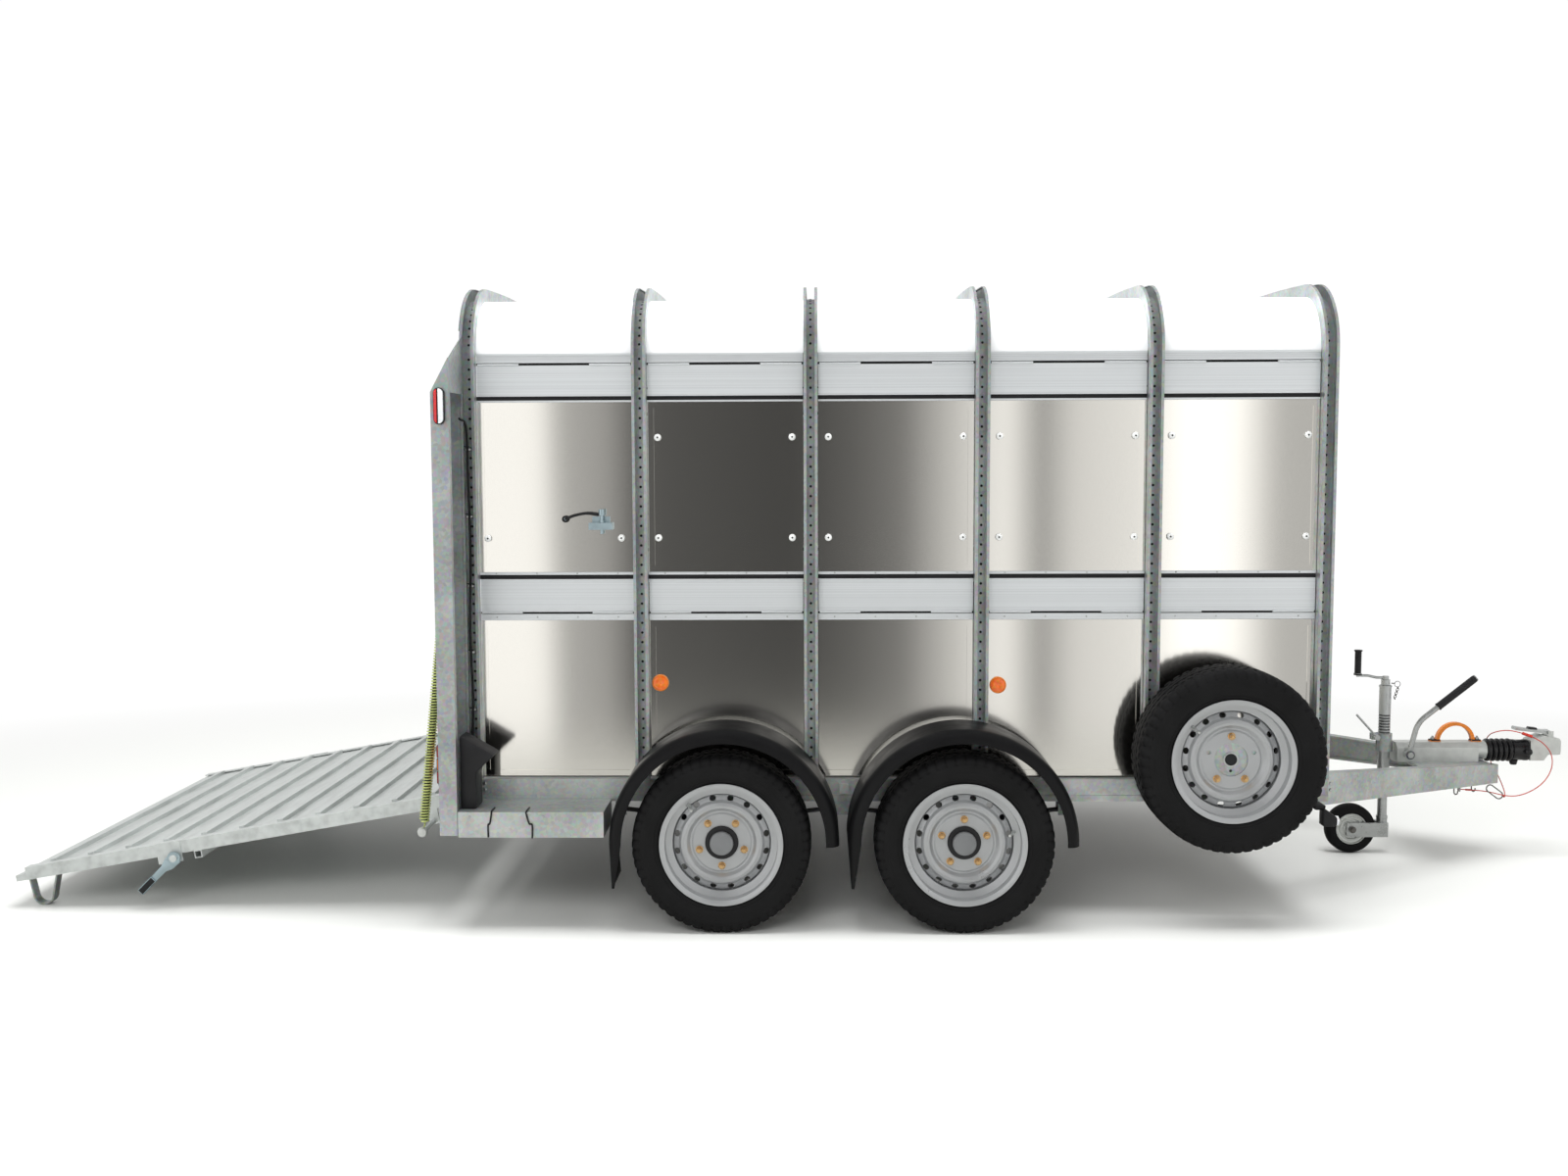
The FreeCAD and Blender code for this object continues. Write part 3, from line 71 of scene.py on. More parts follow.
HOOP_X = [post_low.x + HOOP_WIDTH / 2 + k * (post_high.x - post_low.x - HOOP_WIDTH) / (HOOP_COUNT - 1)
          for k in range(HOOP_COUNT)]
PANEL_FACE = 0.88
WING_X = -1.382            # rear face of the rear frame
WING_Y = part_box("rear_frame")[1].y
STUD_CIRCLE = 0.1651 / 2
WHEELS = {
    "rear_right": ("wheel_rear_right", -1, -90.0),
    "rear_left": ("wheel_rear_left", 1, -90.0),
    "front_right": ("wheel_front_right", -1, 90.0),
    "front_left": ("wheel_front_left", 1, 90.0),
}
CABLE_ROUTE = [
    (2.562, -0.15, 0.299), (2.611, -0.141, 0.294), (2.659, -0.127, 0.288),
    (2.706, -0.114, 0.279), (2.757, -0.13, 0.267), (2.811, -0.12, 0.263),
    (2.866, -0.11, 0.278), (2.912, -0.104, 0.304), (2.946, -0.101, 0.343),
    (2.963, -0.098, 0.39), (2.957, -0.094, 0.439), (2.926, -0.088, 0.479),
    (2.884, -0.078, 0.503), (2.838, -0.066, 0.519), (2.797, -0.044, 0.525),
    (2.766, -0.012, 0.513), (2.752, 0.028, 0.492), (2.752, 0.058, 0.452),
    (2.766, 0.066, 0.404), (2.786, 0.056, 0.356), (2.797, 0.022, 0.318),
    (2.793, -0.026, 0.288), (2.783, -0.072, 0.268), (2.768, -0.104, 0.26),
    (2.751, -0.119, 0.26),
]
GUARD_RADIUS = 0.402       # mudguards: outer radius, middles, height of the middles and lip
GUARD_MIDDLES = (-0.391, 0.443)
GUARD_Z = 0.318
GUARD_EDGE = 1.16
GUARD_INNER = 0.925
GUARD_LIP = 0.046
SPARE_GROWTH = 0.011       # the spare tyre carries no load, so it is this much larger in radius
NUT_FACE = 0.0401          # from a wheel's middle plane out to the face its nuts sit on
CAMERA_PLACE = (-0.0765, -6.3096, 1.635)
CAMERA_LENS = 34.78
CAMERA_TURN = (4.68, 1.12, -0.216)     # pitch down, yaw to the left and roll, in degrees
FLOOR_COLOUR = (0.9, 0.91, 0.89)
# Painted reflection: a darker floor colour that only mirrored rays see, so bare metal shows the floor
# darker.
FLOOR_PAINTED_DARK_IN_REFLECTIONS = (0.42, 0.42, 0.4)    # the floor as bare metal mirrors it
SURROUND = 1.02            # brightness of the surround where it is seen
AMBIENT = 0.6             # and its brightness as a light


# ---------------------------------------------------------------- material nodes
class Tree:
    """A node tree, with short ways to add and join its nodes."""

    def __init__(self, owner):
        owner.use_nodes = True
        self.tree = owner.node_tree

    def node(self, kind, **values):
        made = self.tree.nodes.new(kind)
        for key, value in values.items():
            setattr(made, key, value)
        return made

    def link(self, start, end):
        self.tree.links.new(start, end)

    def mix_shaders(self, factor, first, second):
        made = self.node("ShaderNodeMixShader")
        for socket, output in zip(made.inputs, (factor, first, second)):
            self.link(output, socket)
        return made.outputs[0]

    def glow(self, kind, colour, strength):
        made = self.node(kind)
        made.inputs["Color"].default_value = (*colour, 1)
        made.inputs["Strength"].default_value = strength
        return made.outputs[0]

    def grey(self, factor, low, high, start=0.3, end=0.7, **values):
        """A number that goes from low to high as the factor goes from start to end."""
        made = self.node("ShaderNodeMapRange", **values)
        ends = (("From Min", start), ("From Max", end), ("To Min", low), ("To Max", high))
        for socket, value in ends:
            made.inputs[socket].default_value = value
        self.link(factor, made.inputs["Value"])
        return made.outputs["Result"]


class Nodes(Tree):
    """A new material's node tree, with the nodes that the materials share."""

    def __init__(self, name, colour, metallic, roughness):
        self.material = bpy.data.materials.new(name)
        super().__init__(self.material)
        self.shader = self.tree.nodes["Principled BSDF"]
        self.set("Base Color", (*colour, 1.0))
        self.set("Metallic", metallic)
        self.set("Roughness", roughness)

    def set(self, socket, value):
        self.shader.inputs[socket].default_value = value

    def place(self, scale=(1, 1, 1)):
        coordinates = self.node("ShaderNodeTexCoord")
        mapping = self.node("ShaderNodeMapping")
        mapping.inputs["Scale"].default_value = scale
        self.link(coordinates.outputs["Object"], mapping.inputs["Vector"])
        return mapping.outputs["Vector"]

    def noise(self, scale, stretch=(1, 1, 1), detail=4.0):
        made = self.node("ShaderNodeTexNoise")
        made.inputs["Scale"].default_value = scale
        made.inputs["Detail"].default_value = detail
        self.link(self.place(stretch), made.inputs["Vector"])
        return made.outputs["Fac"]

    def cells(self, scale):
        made = self.node("ShaderNodeTexVoronoi")
        made.inputs["Scale"].default_value = scale
        self.link(self.place(), made.inputs["Vector"])
        return made.outputs["Color"]

    def ramp(self, factor, stops):
        made = self.node("ShaderNodeValToRGB")
        band = made.color_ramp
        band.elements[0].position = stops[0][0]
        band.elements[0].color = (*stops[0][1], 1)
        band.elements[1].position = stops[-1][0]
        band.elements[1].color = (*stops[-1][1], 1)
        for place, colour in stops[1:-1]:
            band.elements.new(place).color = (*colour, 1)
        self.link(factor, made.inputs["Fac"])
        return made.outputs["Color"]

    def mix(self, factor, first, second, blend="MIX"):
        made = self.node("ShaderNodeMix", data_type="RGBA", blend_type=blend)
        for socket, value in ((0, factor), (6, first), (7, second)):
            if isinstance(value, bpy.types.NodeSocket):
                self.link(value, made.inputs[socket])
            elif socket == 0:
                made.inputs[0].default_value = value
            else:
                made.inputs[socket].default_value = (*value, 1)
        return made.outputs[2]

    def colour(self, output):
        self.link(output, self.shader.inputs["Base Color"])

    def tint(self, factor, colour, low, high, start=0.3, end=0.7):
        """Base colour that goes between two shades of one colour."""
        self.colour(self.ramp(factor, [(start, shade(colour, low)), (end, shade(colour, high))]))

    def roughness(self, factor, low, high):
        self.link(self.grey(factor, low, high), self.shader.inputs["Roughness"])

    def bump(self, height, distance, strength=1.0):
        made = self.node("ShaderNodeBump")
        made.inputs["Strength"].default_value = strength
        made.inputs["Distance"].default_value = distance
        self.link(height, made.inputs["Height"])
        self.link(made.outputs["Normal"], self.shader.inputs["Normal"])


def shade(colour, factor):
    return tuple(min(1.0, c * factor) for c in colour)


def galvanised(name, colour, roughness=0.42):
    """Hot-dip zinc: flat crystals of slightly different greys under a soft cloudy bloom."""
    n = Nodes(name, colour, 0.85, roughness)
    crystals = n.cells(95.0)
    clouds = n.noise(5.0, detail=6.0)
    base = n.ramp(clouds, [(0.3, shade(colour, 0.78)), (0.55, colour), (0.75, shade(colour, 1.18))])
    n.colour(n.mix(0.16, base, crystals, "OVERLAY"))
    n.roughness(n.noise(30.0), roughness - 0.08, roughness + 0.16)
    n.bump(n.noise(160.0, detail=2.0), 0.0006, 0.35)
    return n.material


def brushed_sheet(name, colour, roughness=0.095):
    """Mill aluminium, brushed along its length, that blurs what it mirrors up and down only."""
    n = Nodes(name, colour, 1.0, roughness)
    grain = n.noise(60.0, (60.0, 60.0, 1.2), detail=3.0)
    n.tint(grain, colour, 0.95, 1.03, 0.35, 0.65)
    n.roughness(grain, roughness - 0.015, roughness + 0.015)
    n.set("Anisotropic", 0.92)
    n.set("Anisotropic Rotation", 0.25)
    tangent = n.node("ShaderNodeTangent", direction_type="RADIAL", axis="Z")
    n.link(tangent.outputs["Tangent"], n.shader.inputs["Tangent"])
    waves = n.noise(1.6, (1.6, 1.0, 0.3), detail=0.0)
    n.bump(waves, 0.0012, 0.3)
    return n.material


def extrusion(name, colour):
    """Satin aluminium section with long straight die lines."""
    n = Nodes(name, colour, 0.75, 0.38)
    lines = n.noise(12.0, (0.02, 8.0, 40.0), detail=4.0)
    n.tint(lines, colour, 0.9, 1.05, 0.35, 0.65)
    n.roughness(lines, 0.3, 0.46)
    n.bump(lines, 0.0008, 0.5)
    return n.material


def ramp_plank(name, colour):
    """Pale aluminium planks, scuffed along and across the ramp."""
    n = Nodes(name, colour, 0.55, 0.45)
    scuffs = n.noise(9.0, (3.0, 0.5, 3.0), detail=8.0)
    streaks = n.noise(40.0, (0.3, 6.0, 0.3), detail=3.0)
    base = n.ramp(scuffs, [(0.3, shade(colour, 0.8)), (0.52, colour), (0.72, shade(colour, 1.12))])
    lines = n.ramp(streaks, [(0.3, (0.35, 0.36, 0.36)), (0.7, (0.65, 0.66, 0.66))])
    n.colour(n.mix(0.25, base, lines, "OVERLAY"))
    n.roughness(scuffs, 0.36, 0.6)
    n.bump(streaks, 0.0008, 0.5)
    return n.material


def rubber(name, colour, roughness=0.62, grain=260.0, depth=0.0006, shine=0.28):
    n = Nodes(name, colour, 0.0, roughness)
    n.set("Specular IOR Level", shine)
    dust = n.noise(7.0, detail=6.0)
    n.tint(dust, colour, 1.0, 1.7, 0.35, 0.75)
    n.roughness(dust, roughness - 0.06, roughness + 0.1)
    n.bump(n.noise(grain, detail=3.0), depth, 0.5)
    return n.material


def moulded(name, colour, roughness=0.3, grain=90.0, shine=0.5):
    """Smooth moulded plastic with a trace of grain and handling marks."""
    n = Nodes(name, colour, 0.0, roughness)
    n.set("Specular IOR Level", shine)
    marks = n.noise(12.0, detail=6.0)
    n.tint(marks, colour, 0.88, 1.08)
    n.roughness(marks, roughness - 0.05, roughness + 0.1)
    n.bump(n.noise(grain, detail=2.0), 0.0004, 0.3)
    return n.material


def lens(name, colour, ribs=220.0):
    """Moulded lamp lens: glossy face over fine optic ribs."""
    n = Nodes(name, colour, 0.0, 0.12)
    n.set("Coat Weight", 0.6)
    n.set("Coat Roughness", 0.05)
    optic = n.cells(ribs)
    n.colour(n.mix(0.3, colour, optic, "SOFT_LIGHT"))
    n.bump(optic, 0.0008, 0.6)
    return n.material


def plated(name, colour, roughness=0.28, metallic=0.95):
    """Bright zinc plate or plain steel, with faint swirls."""
    n = Nodes(name, colour, metallic, roughness)
    swirl = n.noise(25.0, detail=5.0)
    n.tint(swirl, colour, 0.86, 1.08)
    n.roughness(swirl, roughness - 0.06, roughness + 0.14)
    n.bump(n.noise(140.0, detail=2.0), 0.0003, 0.3)
    return n.material


def painted(name, colour, roughness=0.35, metallic=0.0):
    n = Nodes(name, colour, metallic, roughness)
    peel = n.noise(110.0, detail=2.0)
    tone = n.noise(4.0, detail=5.0)
    n.tint(tone, colour, 0.95, 1.03)
    n.roughness(tone, roughness - 0.04, roughness + 0.08)
    n.bump(peel, 0.0003, 0.25)
    return n.material


def deck_board(name, colour):
    """Dark resin-faced board with a pressed wire grip pattern."""
    n = Nodes(name, colour, 0.0, 0.6)
    wire = n.cells(120.0)
    grain = n.noise(18.0, (1.0, 12.0, 1.0), detail=6.0)
    n.tint(grain, colour, 0.7, 1.5)
    n.bump(wire, 0.0012, 0.6)
    return n.material


MATERIALS = {
    "galvanised": galvanised("galvanised", (0.5, 0.53, 0.53)),
    "galvanised_pale": galvanised("galvanised_pale", (0.6, 0.63, 0.62), 0.46),
    "galvanised_dark": galvanised("galvanised_dark", (0.22, 0.24, 0.24), 0.5),
    "panel": brushed_sheet("panel", (0.9, 0.88, 0.83)),
    "section": extrusion("section", (0.8, 0.83, 0.85)),
    "plank": ramp_plank("plank", (0.64, 0.67, 0.66)),
    "deck": deck_board("deck", (0.1, 0.085, 0.07)),
    "roof": painted("roof", (0.88, 0.89, 0.9), 0.3),
    "tyre": rubber("tyre", (0.0065, 0.0065, 0.0068), 0.58, shine=0.12),
    "rim": painted("rim", (0.42, 0.43, 0.44), 0.3, 0.55),
    "drum": plated("drum", (0.2, 0.2, 0.21), 0.55, 0.7),
    "guard": moulded("guard", (0.005, 0.005, 0.0055), 0.38, 240.0, 0.16),
    "black": rubber("black", (0.01, 0.01, 0.011), 0.42, 300.0, 0.0003),
    "gloss_black": moulded("gloss_black", (0.006, 0.006, 0.007), 0.14),
    "zinc": plated("zinc", (0.58, 0.6, 0.6)),
    "blue_zinc": plated("blue_zinc", (0.48, 0.6, 0.65), 0.3),
    "pale_zinc": plated("pale_zinc", (0.7, 0.72, 0.7), 0.36, 0.8),
    "spring_steel": plated("spring_steel", (0.1, 0.1, 0.11), 0.5, 0.8),
    "coil": plated("coil", (0.62, 0.7, 0.26), 0.32, 0.55),
    "copper_zinc": plated("copper_zinc", (0.72, 0.47, 0.22), 0.26, 0.9),
    "orange": moulded("orange", (0.76, 0.21, 0.01), 0.26),
    "cable_red": moulded("cable_red", (0.5, 0.035, 0.02), 0.32),
    "cap_grey": moulded("cap_grey", (0.16, 0.165, 0.17), 0.38),
    "white": moulded("white", (0.82, 0.83, 0.82), 0.35),
    "lens_red": lens("lens_red", (0.55, 0.012, 0.015)),
    "lens_amber": lens("lens_amber", (0.85, 0.22, 0.01)),
    "lens_orange": lens("lens_orange", (0.86, 0.16, 0.015), 120.0),
    "lens_white": lens("lens_white", (0.78, 0.8, 0.82)),
    "chain": plated("chain", (0.2, 0.19, 0.18), 0.35),
    "bolt_cap": moulded("bolt_cap", (0.8, 0.81, 0.8), 0.3),
    # Near-black, used as painted shade in holes and in the spare carrier's bore, and as the plain black
    # ring round the side markers.
    "hole": painted("hole", (0.012, 0.013, 0.014), 0.8),
}

NODE_FINISH = {
    "galvanised": ["side_posts", "roof_bows", "rear_frame", "spring_hangers", "spare_carrier",
                   "ramp_feet"],
    "galvanised_pale": ["chassis_frame", "drawbar", "rear_steps"],
    "galvanised_dark": ["rear_axle", "front_axle"],
    "panel": ["lower_side_panels", "middle_side_panels", "front_wall"],
    "section": ["side_rails", "upper_vent_flaps_right", "upper_vent_flaps_left",
                "lower_vent_flaps_right", "lower_vent_flaps_left"],
    "plank": ["ramp_frame", "ramp_deck"],
    "deck": ["floor_deck"],
    "roof": ["roof_skin"],
    "rim": ["spare_rim"] + ["rim_" + where for where in WHEELS],
    "drum": ["hub_" + where for where in WHEELS],
    "guard": ["mudguards"],
    "zinc": ["coupling_lever", "jack_outer", "jack_inner", "jockey_fork", "crank_handle", "clamp_lever",
             "handbrake_lever"],
    "blue_zinc": ["side_fittings", "latch_pin"],
    "chain": ["carabiner"],
    "pale_zinc": ["coupling_housing", "coupling_head"],
    "orange": ["grab_handle"],
    "black": ["jockey_wheel"],
}


def finish_cad_nodes():
    for finish, nodes in NODE_FINISH.items():
        for name in nodes:
            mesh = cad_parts[name].data
            mesh.materials.clear()
            mesh.materials.append(MATERIALS[finish])


# ---------------------------------------------------------------- mesh helpers
def add_object(name, data):
    made = bpy.data.objects.new(name, data)
    bpy.context.scene.collection.objects.link(made)
    return made


def side_name(side):
    return "right" if side < 0 else "left"


def axes_about(axis):
    """Unit vector along an axis, and two square to it."""
    axis = Vector(axis).normalized()
    across = axis.orthogonal().normalized()
    return axis, across, axis.cross(across)


def upright(degrees):
    """Unit vector in the XZ plane, turned up from +X."""
    angle = math.radians(degrees)
    return Vector((math.cos(angle), 0, math.sin(angle)))


def piece(name, bm, body, finishes, smooth_under=35.0):
    """Turns a bmesh into a piece that rides on a body and has one or more finishes."""
    mesh = bpy.data.meshes.new(name)
    bm.normal_update()
    bm.to_mesh(mesh)
    bm.free()
    for finish in finishes:
        mesh.materials.append(MATERIALS[finish])
    mesh.shade_smooth()
    mesh.set_sharp_from_angle(angle=math.radians(smooth_under))
    made = add_object(name, mesh)
    if body:
        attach(made, body)
    return made


def ring_points(centre, across, up, radius, sides):
    points = []
    for k in range(sides):
        angle = 2 * math.pi * k / sides
        points.append(centre + across * (radius * math.cos(angle)) + up * (radius * math.sin(angle)))
    return points


def loft(bm, rings, finish=0, closed=False, caps=True):
    """Joins rings of equal point counts into a skin."""
    made = [[bm.verts.new(p) for p in ring] for ring in rings]
    pairs = list(zip(made, made[1:]))
    if closed:
        pairs.append((made[-1], made[0]))
    for a, b in pairs:
        for k in range(len(a)):
            m = (k + 1) % len(a)
            bm.faces.new((a[k], a[m], b[m], b[k])).material_index = finish
    if caps and not closed:
        bm.faces.new(list(reversed(made[0]))).material_index = finish
        bm.faces.new(made[-1]).material_index = finish


def lathe(bm, centre, axis, profile, sides=48, finish=0):
    """Skin of a (distance along the axis, radius) profile turned about the axis."""
    axis, across, up = axes_about(axis)
    centre = Vector(centre)
    rings = [ring_points(centre + axis * a, across, up, max(r, 1e-5), sides) for a, r in profile]
    loft(bm, rings, finish)


def sweep(bm, points, radius, sides=10, finish=0):
    """Round bar along points, turning without twist."""
    points = [Vector(p) for p in points]
    rings = []
    across = None
    for k, point in enumerate(points):
        ahead = points[min(k + 1, len(points) - 1)] - points[max(k - 1, 0)]
        ahead.normalize()
        if across is None:
            across = ahead.orthogonal().normalized()
        across = (across - ahead * across.dot(ahead)).normalized()
        rings.append(ring_points(point, across, ahead.cross(across), radius, sides))
    loft(bm, rings, finish)


def curve_through(points, steps=8):
    """Smooth line through a few points, by the Catmull-Rom rule."""
    points = [Vector(p) for p in points]
    padded = [points[0] * 2 - points[1]] + points + [points[-1] * 2 - points[-2]]
    line = []
    for k in range(1, len(padded) - 2):
        a, b, c, d = padded[k - 1:k + 3]
        for step in range(steps):
            t = step / steps
            line.append(0.5 * (2 * b + (c - a) * t + (2 * a - 5 * b + 4 * c - d) * t ** 2
                               + (3 * b - a - 3 * c + d) * t ** 3))
    line.append(points[-1])
    return line


def slab(bm, outline, depth, bevel=0.0, finish=0):
    """Solid from a closed outline of points pushed along depth, with its edges rounded."""
    depth = Vector(depth)
    low = [bm.verts.new(Vector(p)) for p in outline]
    high = [bm.verts.new(Vector(p) + depth) for p in outline]
    count = len(low)
    faces = [bm.faces.new(low), bm.faces.new(list(reversed(high)))]
    for k in range(count):
        m = (k + 1) % count
        faces.append(bm.faces.new((low[m], low[k], high[k], high[m])))
    bmesh.ops.recalc_face_normals(bm, faces=faces)
    for face in faces:
        face.material_index = finish
    if bevel:
        edges = list({edge for face in faces for edge in face.edges})
        bmesh.ops.bevel(bm, geom=edges, offset=bevel, segments=2, affect="EDGES", profile=0.5)


def block(bm, low, high, bevel=0.001, finish=0):
    x0, y0, z0 = low
    x1, y1, z1 = high
    outline = [(x0, y0, z0), (x1, y0, z0), (x1, y1, z0), (x0, y1, z0)]
    slab(bm, outline, (0, 0, z1 - z0), bevel, finish)


def middle(node):
    low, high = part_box(node)
    return (low + high) / 2


# ---------------------------------------------------------------- tyres and wheels
def tyre_mesh(grow):
    """Tyre about the Y axis: ringed sidewalls, shoulder blocks and four tread grooves."""
    half = [(0.07, 0.204), (0.0745, 0.204), (0.076, 0.211), (0.0775, 0.218), (0.085, 0.223),
            (0.0885, 0.229), (0.088, 0.232), (0.0905, 0.2345), (0.0935, 0.248), (0.0945, 0.2585),
            (0.0935, 0.264), (0.0945, 0.266), (0.094, 0.276), (0.0935, 0.2835), (0.093, 0.285),
            (0.0905, 0.2985), (0.0845, 0.3075), (0.072, 0.312), (0.058, 0.313), (0.052, 0.313),
            (0.0515, 0.3055), (0.0455, 0.3055), (0.045, 0.3135), (0.019, 0.314), (0.0185, 0.306),
            (0.0115, 0.306), (0.011, 0.314)]
    shoulder = range(14, 19)
    rib = (22, 23)
    segments = 216
    bm = bmesh.new()
    rings = []
    for s in range(segments):
        angle = 2 * math.pi * s / segments
        points = []
        for side in (1, -1):
            order = half if side == 1 else list(reversed(half))
            for place, (along, radius) in enumerate(order):
                row = place if side == 1 else len(half) - 1 - place
                radius += grow if radius > 0.24 else 0.0
                phase = (s + (1 if side == 1 else 2)) % 4
                if row in shoulder and phase == 0:
                    radius -= 0.0045
                    along -= 0.003
                if row in rib and s % 3 == 0:
                    radius -= 0.0025
                x, z = radius * math.cos(angle), radius * math.sin(angle)
                points.append(Vector((x, side * along, z)))
        rings.append(points)
    made = [[bm.verts.new(p) for p in ring] for ring in rings]
    for s in range(segments):
        a, b = made[s], made[(s + 1) % segments]
        for k in range(len(a) - 1):
            bm.faces.new((a[k], b[k], b[k + 1], a[k + 1]))
    bmesh.ops.recalc_face_normals(bm, faces=bm.faces)
    mesh = bpy.data.meshes.new("tyre")
    bm.to_mesh(mesh)
    bm.free()
    mesh.materials.append(MATERIALS["tyre"])
    mesh.shade_smooth()
    mesh.set_sharp_from_angle(angle=math.radians(38))
    return mesh


def add_tyres():
    """Road tyres flatten a little under load, and the spare keeps its full radius."""
    loaded = tyre_mesh(0.0)
    free = tyre_mesh(SPARE_GROWTH)
    places = [("tyre_" + where, body, loaded) for where, (body, _, _) in WHEELS.items()]
    for node, body, mesh in places + [("spare_tyre", TRAILER, free)]:
        made = add_object(node + "_tread", mesh)
        made.location = middle(node)
        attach(made, body)
        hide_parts(node)


def nut(bm, centre, side, degrees):
    """Washer, hexagon nut with a chamfered top, and the stud's end."""
    axis = Vector((0, side, 0))
    centre = Vector(centre)
    washer = [(0.0, 0.0), (0.0, 0.0135), (0.0022, 0.0135), (0.003, 0.012), (0.003, 0.0)]
    lathe(bm, centre, axis, washer, 24)
    across = upright(degrees)
    up = axis.cross(across)
    rings = []
    for along, radius in ((0.003, 0.0113), (0.0135, 0.0113), (0.0157, 0.0098)):
        rings.append(ring_points(centre + axis * along, across, up, radius, 6))
    loft(bm, rings)
    lathe(bm, centre, axis, [(0.015, 0.0064), (0.0225, 0.0064), (0.0232, 0.0055), (0.0232, 0.0)], 16)


def add_wheel_details():
    for where, (body, side, first) in WHEELS.items():
        centre = middle("rim_" + where)
        add_nuts("nuts_" + where, centre, side, [first + 72 * k for k in range(5)], body)
        add_hub_cap("hub_cap_" + where, centre, side, body)
        add_valve("valve_" + where, centre, side, 131.0 if "rear" in where else 12.0, body)
    centre = middle("spare_rim")
    add_nuts("nuts_spare", centre, -1, [90.0, 234.0, 306.0], TRAILER)
    add_valve("valve_spare", centre, -1, 140.0, TRAILER)
    add_spare_bore(centre)


def add_nuts(name, centre, side, angles, body):
    bm = bmesh.new()
    for degrees in angles:
        foot = centre + upright(degrees) * STUD_CIRCLE + Vector((0, side * NUT_FACE, 0))
        nut(bm, foot, side, degrees)
    piece(name, bm, body, ["copper_zinc"], 25)


def add_hub_cap(name, centre, side, body):
    bm = bmesh.new()
    ring = [(0.0385, 0.0), (0.0385, 0.058), (0.048, 0.058), (0.05, 0.056), (0.05, 0.0425),
            (0.047, 0.04)]
    lathe(bm, centre, (0, side, 0), ring, 56, 0)
    cap = [(0.044, 0.0412), (0.062, 0.0412), (0.0655, 0.0385), (0.0668, 0.034), (0.067, 0.0)]
    lathe(bm, centre, (0, side, 0), cap, 56, 1)
    piece(name, bm, body, ["black", "cap_grey"])


def add_valve(name, centre, side, degrees, body):
    outward = upright(degrees)
    foot = centre + outward * 0.175 + Vector((0, side * 0.044, 0))
    axis = Vector((0, side, 0)) - outward * 0.55
    bm = bmesh.new()
    stem = [(-0.006, 0.007), (0.004, 0.007), (0.008, 0.0052), (0.026, 0.0045), (0.027, 0.0052),
            (0.036, 0.0052), (0.038, 0.004)]
    lathe(bm, foot, axis, stem, 16)
    piece(name, bm, body, ["pale_zinc"])


def add_spare_bore(centre):
    """Near-black disc as painted shade inside the spare carrier's sleeve, and a zinc collar round it."""
    bm = bmesh.new()
    face = centre + Vector((0, -0.0352, 0))
    # Painted shade: a near-black disc closes the bore.
    lathe(bm, face, (0, -1, 0), [(0.0, 0.0205), (0.0004, 0.0205), (0.0004, 0.0)], 32)
    collar = [(0.0, 0.026), (0.003, 0.026), (0.0035, 0.025), (0.0035, 0.0212), (0.0, 0.0212)]
    lathe(bm, face, (0, -1, 0), collar, 40, 1)
    piece("spare_carrier_end", bm, TRAILER, ["hole", "zinc"])


def add_jockey_wheel():
    """Solid black tyre on a pressed steel rim with ridges."""
    low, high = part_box("jockey_wheel")
    centre = (low + high) / 2
    w = (high.y - low.y) / 2 - 0.0006
    r = (high.z - low.z) / 2
    bm = bmesh.new()
    tread = [(0.0, r), (w - 0.016, r), (w - 0.008, r - 0.003), (w - 0.002, r - 0.01), (w, r - 0.018),
             (w, 0.068), (w - 0.002, 0.0665), (w - 0.006, 0.066), (0.0, 0.066)]
    rim = [(0.0, 0.0655), (w - 0.003, 0.0655), (w, 0.064), (w, 0.061), (w - 0.005, 0.058),
           (w - 0.006, 0.05), (w - 0.003, 0.0475), (w - 0.003, 0.044), (w - 0.008, 0.041),
           (w - 0.008, 0.034), (w - 0.004, 0.0315), (w - 0.004, 0.025), (w - 0.001, 0.023),
           (w - 0.001, 0.0)]
    for side in (-1, 1):
        lathe(bm, centre, (0, side, 0), tread, 64, 0)
        lathe(bm, centre, (0, side, 0), rim, 64, 1)
    made = piece("jockey_tyre", bm, "jockey_wheel", ["tyre", "pale_zinc"], 30)
    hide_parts("jockey_wheel")


# ---------------------------------------------------------------- mudguards
def guard_ring(edge, outward, side, lip):
    """Closed section of a mudguard: flat crown, rounded corner and a lip of the given depth."""
    bend = min(0.045, lip - 0.001)
    thick = 0.004
    steps = 8
    section = [(0.0, GUARD_INNER)]
    for k in range(steps + 1):
        angle = math.pi / 2 * k / steps
        section.append((bend - bend * math.cos(angle), GUARD_EDGE - bend + bend * math.sin(angle)))
    section += [(lip, GUARD_EDGE), (lip, GUARD_EDGE - thick)]
    inner = max(bend - thick, 0.001)
    for k in range(steps, -1, -1):
        angle = math.pi / 2 * k / steps
        section.append((bend - inner * math.cos(angle), GUARD_EDGE - bend + inner * math.sin(angle)))
    section.append((thick, GUARD_INNER))
    return [edge - outward * depth + Vector((0, side * y, 0)) for depth, y in section]


def add_mudguards():
    bm = bmesh.new()
    for x in GUARD_MIDDLES:
        for side in (-1, 1):
            rings = []
            for k in range(61):
                outward = upright(-1.1 + 181.1 * k / 60)
                edge = Vector((x, 0, GUARD_Z)) + outward * GUARD_RADIUS
                rings.append(guard_ring(edge, outward, side, GUARD_LIP))
            for k in range(1, 9):
                share = k / 8
                edge = Vector((x - GUARD_RADIUS + 0.012 * share, 0, GUARD_Z - 0.153 * share))
                rings.append(guard_ring(edge, Vector((-1, 0, 0)), side, GUARD_LIP - 0.036 * share))
            loft(bm, rings if side > 0 else [list(reversed(ring)) for ring in rings])
    bmesh.ops.recalc_face_normals(bm, faces=bm.faces)
    made = piece("mudguard_skins", bm, TRAILER, ["guard"])
    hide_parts("mudguards")


